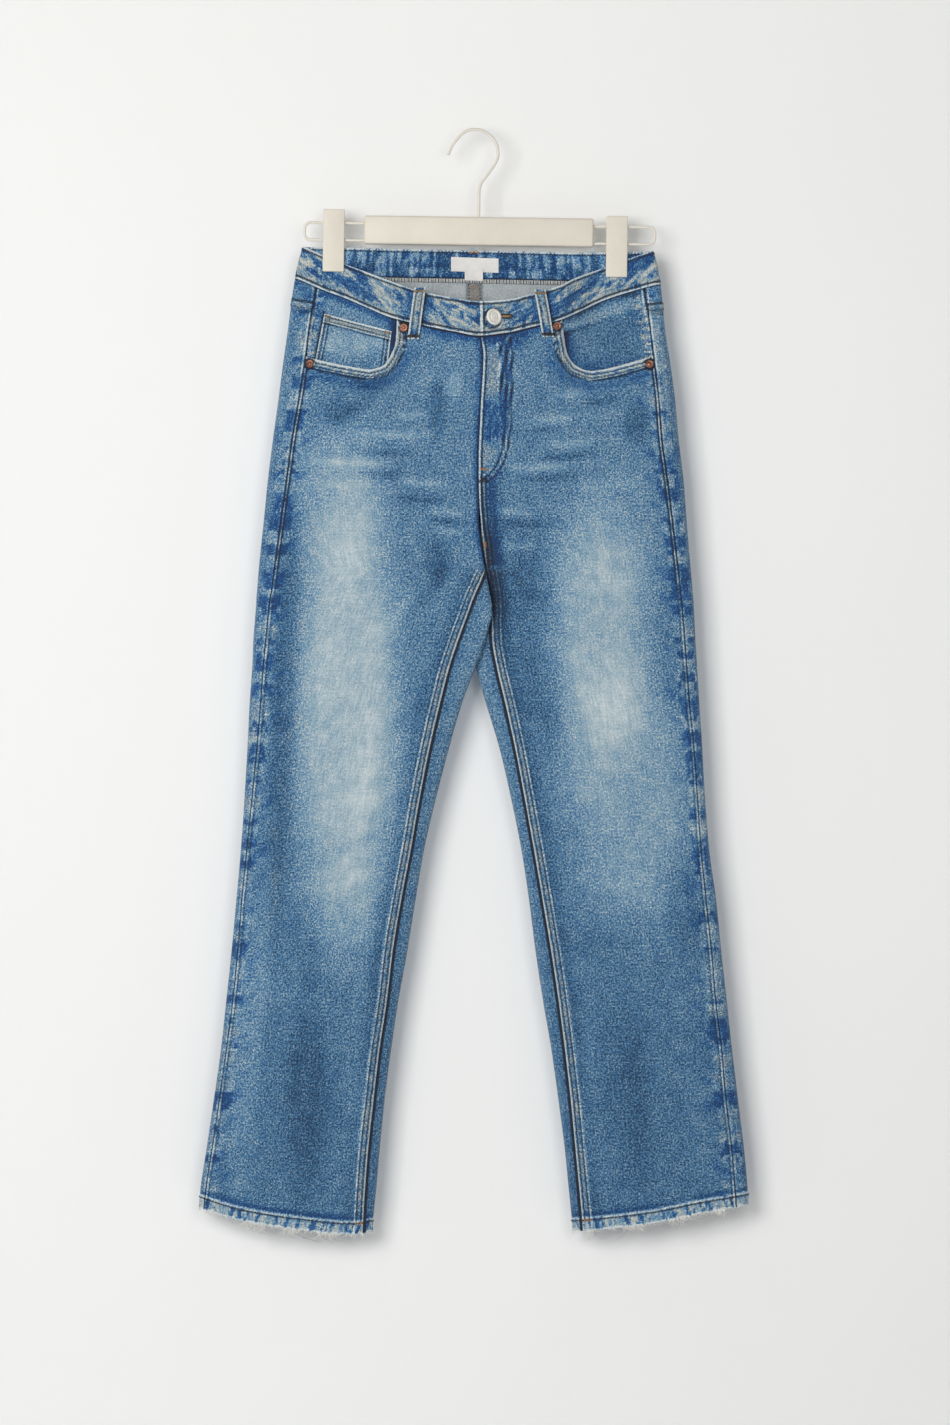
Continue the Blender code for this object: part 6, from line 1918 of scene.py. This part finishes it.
def buttonhole(casts, thread, slit_material):
    """A worked hole beside the button: close thread round a dark slit."""
    ring = [(HOLE_X + 1.0 + 7.2 * (1 - math.cos(turn)) * 0.92, HOLE_DROP - 1.9 * math.sin(turn))
            for turn in np.linspace(0.35, 2 * math.pi - 0.35, 40)]
    thread.across(casts["bands"].route(ring, 0.6), 2.0, 0.7, 0.30, 0.25)
    lens = [(HOLE_X + HOLE_LENGTH * share, HOLE_DROP + sign * 1.25 * math.sin(math.pi * share) ** 0.6)
            for sign in (1, -1) for share in np.linspace(0.02, 0.98, 12)[::sign]]
    spots = [casts["bands"].spot(x, drop) for x, drop in lens]
    points = np.array([place + normal * 0.25 for place, normal in spots])
    below = points - np.mean([normal for place, normal in spots], axis=0) * 0.3
    count = len(points)
    faces = [list(range(count)), list(range(2 * count - 1, count - 1, -1))]
    for here in range(count):
        there = (here + 1) % count
        faces.append([there, here, here + count, there + count])
    own(add_mesh("buttonhole_slit", np.concatenate([points, below]), faces, slit_material), "denim")


def labels(label_cloth):
    """The bare woven label with folded ends, and the small tab below it, inside the back band."""
    pieces = (
        # name, node, left x, right x, top drop, low drop, what it is sewn to
        ("label_main", "waist_label", -23.0, 24.6, 126.5, 140.8, "waistband_left"),
        ("label_size", "size_tab", -9.3, 9.0, 137.5, 149.6, "waist_label"),
    )
    for layer, (name, node, left, right, top, low, rests) in enumerate(pieces):
        share = spaced(right - left, 1.6, 0.6, 3.0, 3.0)
        x, drop = np.meshgrid(left + (right - left) * share, np.linspace(top, low, 12))
        drop = drop + 0.035 * x
        p = Patch(LEFT, on_back(LEFT, np.abs(x), drop), drop, BACK)
        p.points[..., 0] = x
        p.normals[:] = (0.0, 1.0, 0.0)
        p.measure()
        p.bend[:] = 0.10 * noise(x / 9.0, drop / 7.0, 171 + layer)
        p.inner_extra += 0.28 * smooth(p.edge, 2.6, 2.2)
        offset = -(BAND_WALL / 2 + SEAM_GAP + LABEL_WALL / 2 + layer * (LABEL_WALL + SEAM_GAP) + 0.45)
        cut = LABEL_CUT[layer]
        p.close(name, LABEL_WALL, label_cloth, node, cut, rests, offset, "stretched", "label_white")


def zip_teeth(tape, metal):
    """Two columns of teeth on the tape behind the fly."""
    cast = Cast(tape)
    corners = [(dx * 1.5, dy * 0.3, dz * 0.7) for dx in (-1, 1) for dy in (-1, 1) for dz in (-1, 1)]
    box = ((0, 1, 3, 2), (4, 6, 7, 5), (0, 4, 5, 1), (2, 3, 7, 6), (0, 2, 6, 4), (1, 5, 7, 3))
    points, faces = [], []
    for number, drop in enumerate(np.arange(ZIP_TOP, ZIP_FOOT, TOOTH_PITCH)):
        spot = cast.spot(ZIP_X + (1.3 if number % 2 else -1.3), drop)
        if spot:
            faces += [[part + len(points) for part in face] for face in box]
            points += [spot[0] + spot[1] * 0.1 + np.array(corner) for corner in corners]
    made = add_mesh("zip_teeth", points, faces, metal)
    made.data.shade_flat()
    own(made, "button_metal")


# ---------------------------------------------------------------- hanger

def tube(name, route, radius, material, node):
    """A bent wire with rounded ends, swept along a route."""
    sides = 16
    route = np.asarray(route, float)
    way = unit(np.gradient(route, axis=0))
    side = unit(np.cross(way, (0.0, 1.0, 0.0)))
    up = np.cross(side, way)
    caps = ((0.8, 0.45), (0.45, 0.85))
    end = len(route) - 1
    rings = [(route[0] - way[0] * radius * out, share, 0) for out, share in caps]
    rings += [(place, 1.0, number) for number, place in enumerate(route)]
    rings += [(route[end] + way[end] * radius * out, share, end) for out, share in caps[::-1]]
    points = []
    for centre, share, number in rings:
        for turn in np.linspace(0, 2 * math.pi, sides, endpoint=False):
            out = side[number] * math.cos(turn) + up[number] * math.sin(turn)
            points.append(centre + radius * share * out)
    faces = [list(range(sides))]
    for a in range(0, len(points) - sides, sides):
        for step in range(sides):
            after = (step + 1) % sides
            faces.append([a + after, a + step, a + sides + step, a + sides + after])
    faces.append(list(range(len(points) - 1, len(points) - sides - 1, -1)))
    own(add_mesh(name, points, faces, material), "hanger_wire", node)


def tilted(points):
    """Places on the hanger, turned by the small tilt at which it hangs."""
    points = np.asarray(points, float)
    cosine, sine = math.cos(HANGER_TILT), math.sin(HANGER_TILT)
    x, z = points[..., 0], points[..., 2] + BAR["top"]
    return np.stack([x * cosine + z * sine, points[..., 1], z * cosine - x * sine - BAR["top"]], axis=-1)


def plate(name, outline, low_x, high_x, bevel, material, node):
    """A side profile in y and drop, drawn out along x, with its edges rounded."""
    count = len(outline)
    points = [(x, y, -drop) for x in (low_x, high_x) for y, drop in outline]
    faces = [tuple(range(count - 1, -1, -1)), tuple(range(count, 2 * count))]
    for here in range(count):
        there = (here + 1) % count
        faces.append((here, there, there + count, here + count))
    made = add_mesh(name, tilted(points), faces, material)
    rounding = made.modifiers.new("edges", "BEVEL")
    rounding.width = bevel * MM
    rounding.segments = 4
    rounding.limit_method = "ANGLE"
    own(made, "hanger_cream", node)


def hanger(cream, wire):
    depth = BAR["depth"] / 2
    low = BAR["top"] + BAR["height"]
    outline = ((-depth, low), (depth, low), (depth, BAR["top"]), (-depth, BAR["top"]))
    plate("bar_body", outline, BAR["left"], BAR["right"], 2.2, cream, "hanger_bar")
    hook = along(curve(HOOK_ROUTE, 600), 120)
    hook = np.stack([hook[:, 0], np.zeros(len(hook)), -hook[:, 1]], axis=1)
    hook[0] = tilted([hook[0]])[0] + np.array([0.0, 0.0, HOOK_WIRE * 0.2])
    tube("hook_wire", hook, HOOK_WIRE / 2, wire, "hanger_hook")
    for side in (RIGHT, LEFT):
        start = (BAR["left"] if side == RIGHT else BAR["right"]) + side * SEAM_GAP
        corner, upper, lower = WIRE_LOOP["corner"], WIRE_LOOP["upper"], WIRE_LOOP["lower"]
        end = side * WIRE_LOOP["reach"][side]
        straight = end - side * corner
        turns = [(corner * (1 - math.sin(turn)), corner * (1 - math.cos(turn)))
                 for turn in np.linspace(0, math.pi / 2, 14)]
        route = [(x, 0.0, -upper) for x in np.linspace(start, straight, 10)[:-1]]
        route += [(end - side * back, 0.0, -(upper + down)) for back, down in turns]
        route += [(end - side * back, 0.0, -(lower - up)) for up, back in turns]
        route += [(x, 0.0, -lower) for x in np.linspace(straight, start, 10)[1:]]
        tube(f"loop_wire_{WORD[side]}", tilted(route), WIRE / 2, wire, f"hanger_loop_{WORD[side]}")
        clip(side, cream)


def clip(side, cream):
    """Two plates that straddle the wires and grip the waistband."""
    top, low, step = CLIP_HEIGHTS[side]
    near = WIRE / 2 + SEAM_GAP
    grip = GRIP_DEPTH + BAND_WALL / 2 + SEAM_GAP
    far = grip + CLIP_WALL
    profile = ((near, top), (far, top), (far, low), (grip, low), (grip, step + 1.5), (near, step))
    mirrored = [(-y, drop) for y, drop in profile]
    low_x, high_x = CLIP_CENTRE[side] - CLIP_WIDTH / 2, CLIP_CENTRE[side] + CLIP_WIDTH / 2
    for outline, where in ((profile[::-1], "back"), (mirrored, "front")):
        name = f"clip_{WORD[side]}"
        plate(f"{name}_jaw_{where}", outline, low_x, high_x, 0.9, cream, f"{name}_{where}")


# ---------------------------------------------------------------- stage and light

CAMERA_AT = (0.001, -6.012, -0.5825)
CAMERA_LENS = 151.6
WALL_Y = 0.033
FLOOR_Z = -1.36
# name, place, aimed at, size, power, colour
LIGHTS = (
    ("key", (-1.55, -3.6, 0.18), (-0.2, 0.0, -0.36), (1.9, 1.6), 91.0, (1.0, 0.985, 0.96)),
    ("fill", (0.9, -4.2, 0.0), (0.1, 0.0, -0.5), (1.2, 1.6), 29.0, (0.985, 0.99, 1.0)),
    ("back_key", (-1.8, 2.6, 1.2), (0.0, 0.0, -0.55), (1.5, 1.5), 36.0, (1.0, 0.96, 0.90)),
    ("back_fill", (2.3, 2.4, 0.0), (0.0, 0.0, -0.6), (1.8, 2.0), 15.0, (1.0, 0.97, 0.92)),
)


def linked(name, data):
    made = bpy.data.objects.new(name, data)
    bpy.context.scene.collection.objects.link(made)
    return made


def stage_plane(name, corners, material):
    mesh = bpy.data.meshes.new(name)
    mesh.from_pydata(corners, [], [(0, 1, 2, 3)])
    mesh.materials.append(material)
    made = linked(name, mesh)
    return made


def stage_material(name, colour, one_sided):
    n = Nodes(name, 0.95)
    cloud = n.noise(n.place(), 1.3, 2.0, 0.5)
    made = n.finish(n.mix(n.span(cloud, -1, 1), [part * 0.985 for part in colour], colour))
    if one_sided:
        geometry = n.add("NewGeometry", {}).outputs["Backfacing"]
        clear = n.add("BsdfTransparent", {}).outputs["BSDF"]
        choice = n.add("MixShader", {"Fac": geometry, 1: n.shader.outputs["BSDF"], 2: clear})
        n.set(n.tree.nodes["Material Output"], {"Surface": choice.outputs["Shader"]})
    return made


def set_the_scene():
    scene = bpy.context.scene
    wall = stage_material("stage_wall", (0.885, 0.895, 0.90), True)
    floor = stage_material("stage_floor", (0.66, 0.662, 0.66), False)
    corners = [(-4, WALL_Y, FLOOR_Z), (4, WALL_Y, FLOOR_Z), (4, WALL_Y, 3), (-4, WALL_Y, 3)]
    # the lights behind the wall reach the garment's back through it
    stage_plane("backdrop", corners, wall).visible_shadow = False
    stage_plane("floor", [(x, y, FLOOR_Z) for x, y in ((-5, -5), (5, -5), (5, 5), (-5, 5))], floor)
    for name, place, toward, size, power, colour in LIGHTS:
        light = bpy.data.lights.new(name, "AREA")
        light.shape = "RECTANGLE"
        light.size, light.size_y = size
        light.energy, light.color = power, colour
        made = linked(name, light)
        made.location = place
        made.rotation_euler = (Vector(toward) - Vector(place)).to_track_quat("-Z", "Y").to_euler()
    world = bpy.data.worlds.new("studio")
    world.use_nodes = True
    background = world.node_tree.nodes["Background"]
    background.inputs["Color"].default_value = (1.0, 0.97, 0.92, 1.0)
    background.inputs["Strength"].default_value = 0.22
    scene.world = world
    camera = linked("camera", bpy.data.cameras.new("camera"))
    camera.location = CAMERA_AT
    camera.rotation_euler = (math.pi / 2, 0.0, 0.0)
    camera.data.sensor_width = 36.0
    camera.data.lens = CAMERA_LENS
    camera.data.clip_end = 60.0
    scene.camera = camera
    scene.view_settings.view_transform = "Standard"


# ---------------------------------------------------------------- the whole scene

# mesh, material, colour, colour where worn
THREADS = (
    ("stitches_dark", "thread_dark", (0.006, 0.010, 0.024), (0.03, 0.05, 0.09)),
    ("stitches_brown", "thread_brown", (0.008, 0.007, 0.010), (0.06, 0.035, 0.022)),
    ("overlock_pale", "thread_pale", (0.50, 0.53, 0.53), (0.72, 0.72, 0.68)),
    ("bartacks_gold", "thread_gold", (0.20, 0.125, 0.055), (0.42, 0.30, 0.16)),
    ("bartacks_orange", "thread_orange", (0.36, 0.15, 0.04), (0.58, 0.32, 0.12)),
)


def main():
    denim = denim_material()
    tape = woven_material("zip_tape", (0.05, 0.07, 0.12), (0.02, 0.03, 0.06), 1.0)
    label_cloth = woven_material("label_white", (0.90, 0.90, 0.89), (0.80, 0.80, 0.79), 0.9)
    cotton = thread_material("thread_cotton", (0.70, 0.70, 0.68), (0.86, 0.85, 0.82))
    metal = plain_material("button_metal", (0.86, 0.85, 0.81), (0.74, 0.73, 0.69), 0.45, 0.05, 0.03, 900.0)
    copper = plain_material("rivet_copper", (0.40, 0.19, 0.13), (0.10, 0.042, 0.028), 0.34, 0.8, 0.05, 900.0)
    cream = plain_material("hanger_cream", (0.71, 0.67, 0.585), (0.665, 0.625, 0.54), 0.42, 0.0, 0.02, 500.0)
    wire = plain_material("hanger_wire", (0.75, 0.72, 0.645), (0.70, 0.67, 0.595), 0.38, 0.0, 0.01, 700.0)

    patches = {}
    for side in (RIGHT, LEFT):
        patches["front", side], patches["back", side] = leg_pieces(side, denim)
    for side in (RIGHT, LEFT):
        patches["pocket", side] = back_pocket(side, denim)
        pocket_facing(side, denim)
    for side in (RIGHT, LEFT):
        patches["yoke", side] = yoke(side, denim)
    for side in (RIGHT, LEFT):
        patches["band", side] = waistband(side, denim)
    patches["coin"] = coin_pocket(denim)
    loops = [(row, False) for row in FRONT_LOOPS] + [(row, True) for row in BACK_LOOPS]
    patches["loops"] = [belt_loop(row, back, denim) for row, back in loops]
    zip_tape = behind_fly(denim, tape)
    casts = {
        "left": Cast(patches["front", LEFT]),
        "fronts": Cast(patches["front", RIGHT], patches["front", LEFT]),
        "bands": Cast(patches["band", LEFT], patches["band", RIGHT]),
    }
    threads = [Thread(name, thread_material(*look)) for name, *look in THREADS]
    dark, brown, pale, gold, orange = threads
    sew(patches, casts, dark, brown, gold, orange)
    overlock(patches, pale, dark)
    buttonhole(casts, brown, gold.material)
    for thread in threads:
        thread.make()
    fray(patches, casts, cotton)
    trims(casts, metal, copper)
    labels(label_cloth)
    zip_teeth(zip_tape, metal)
    hanger(cream, wire)
    set_the_scene()


main()
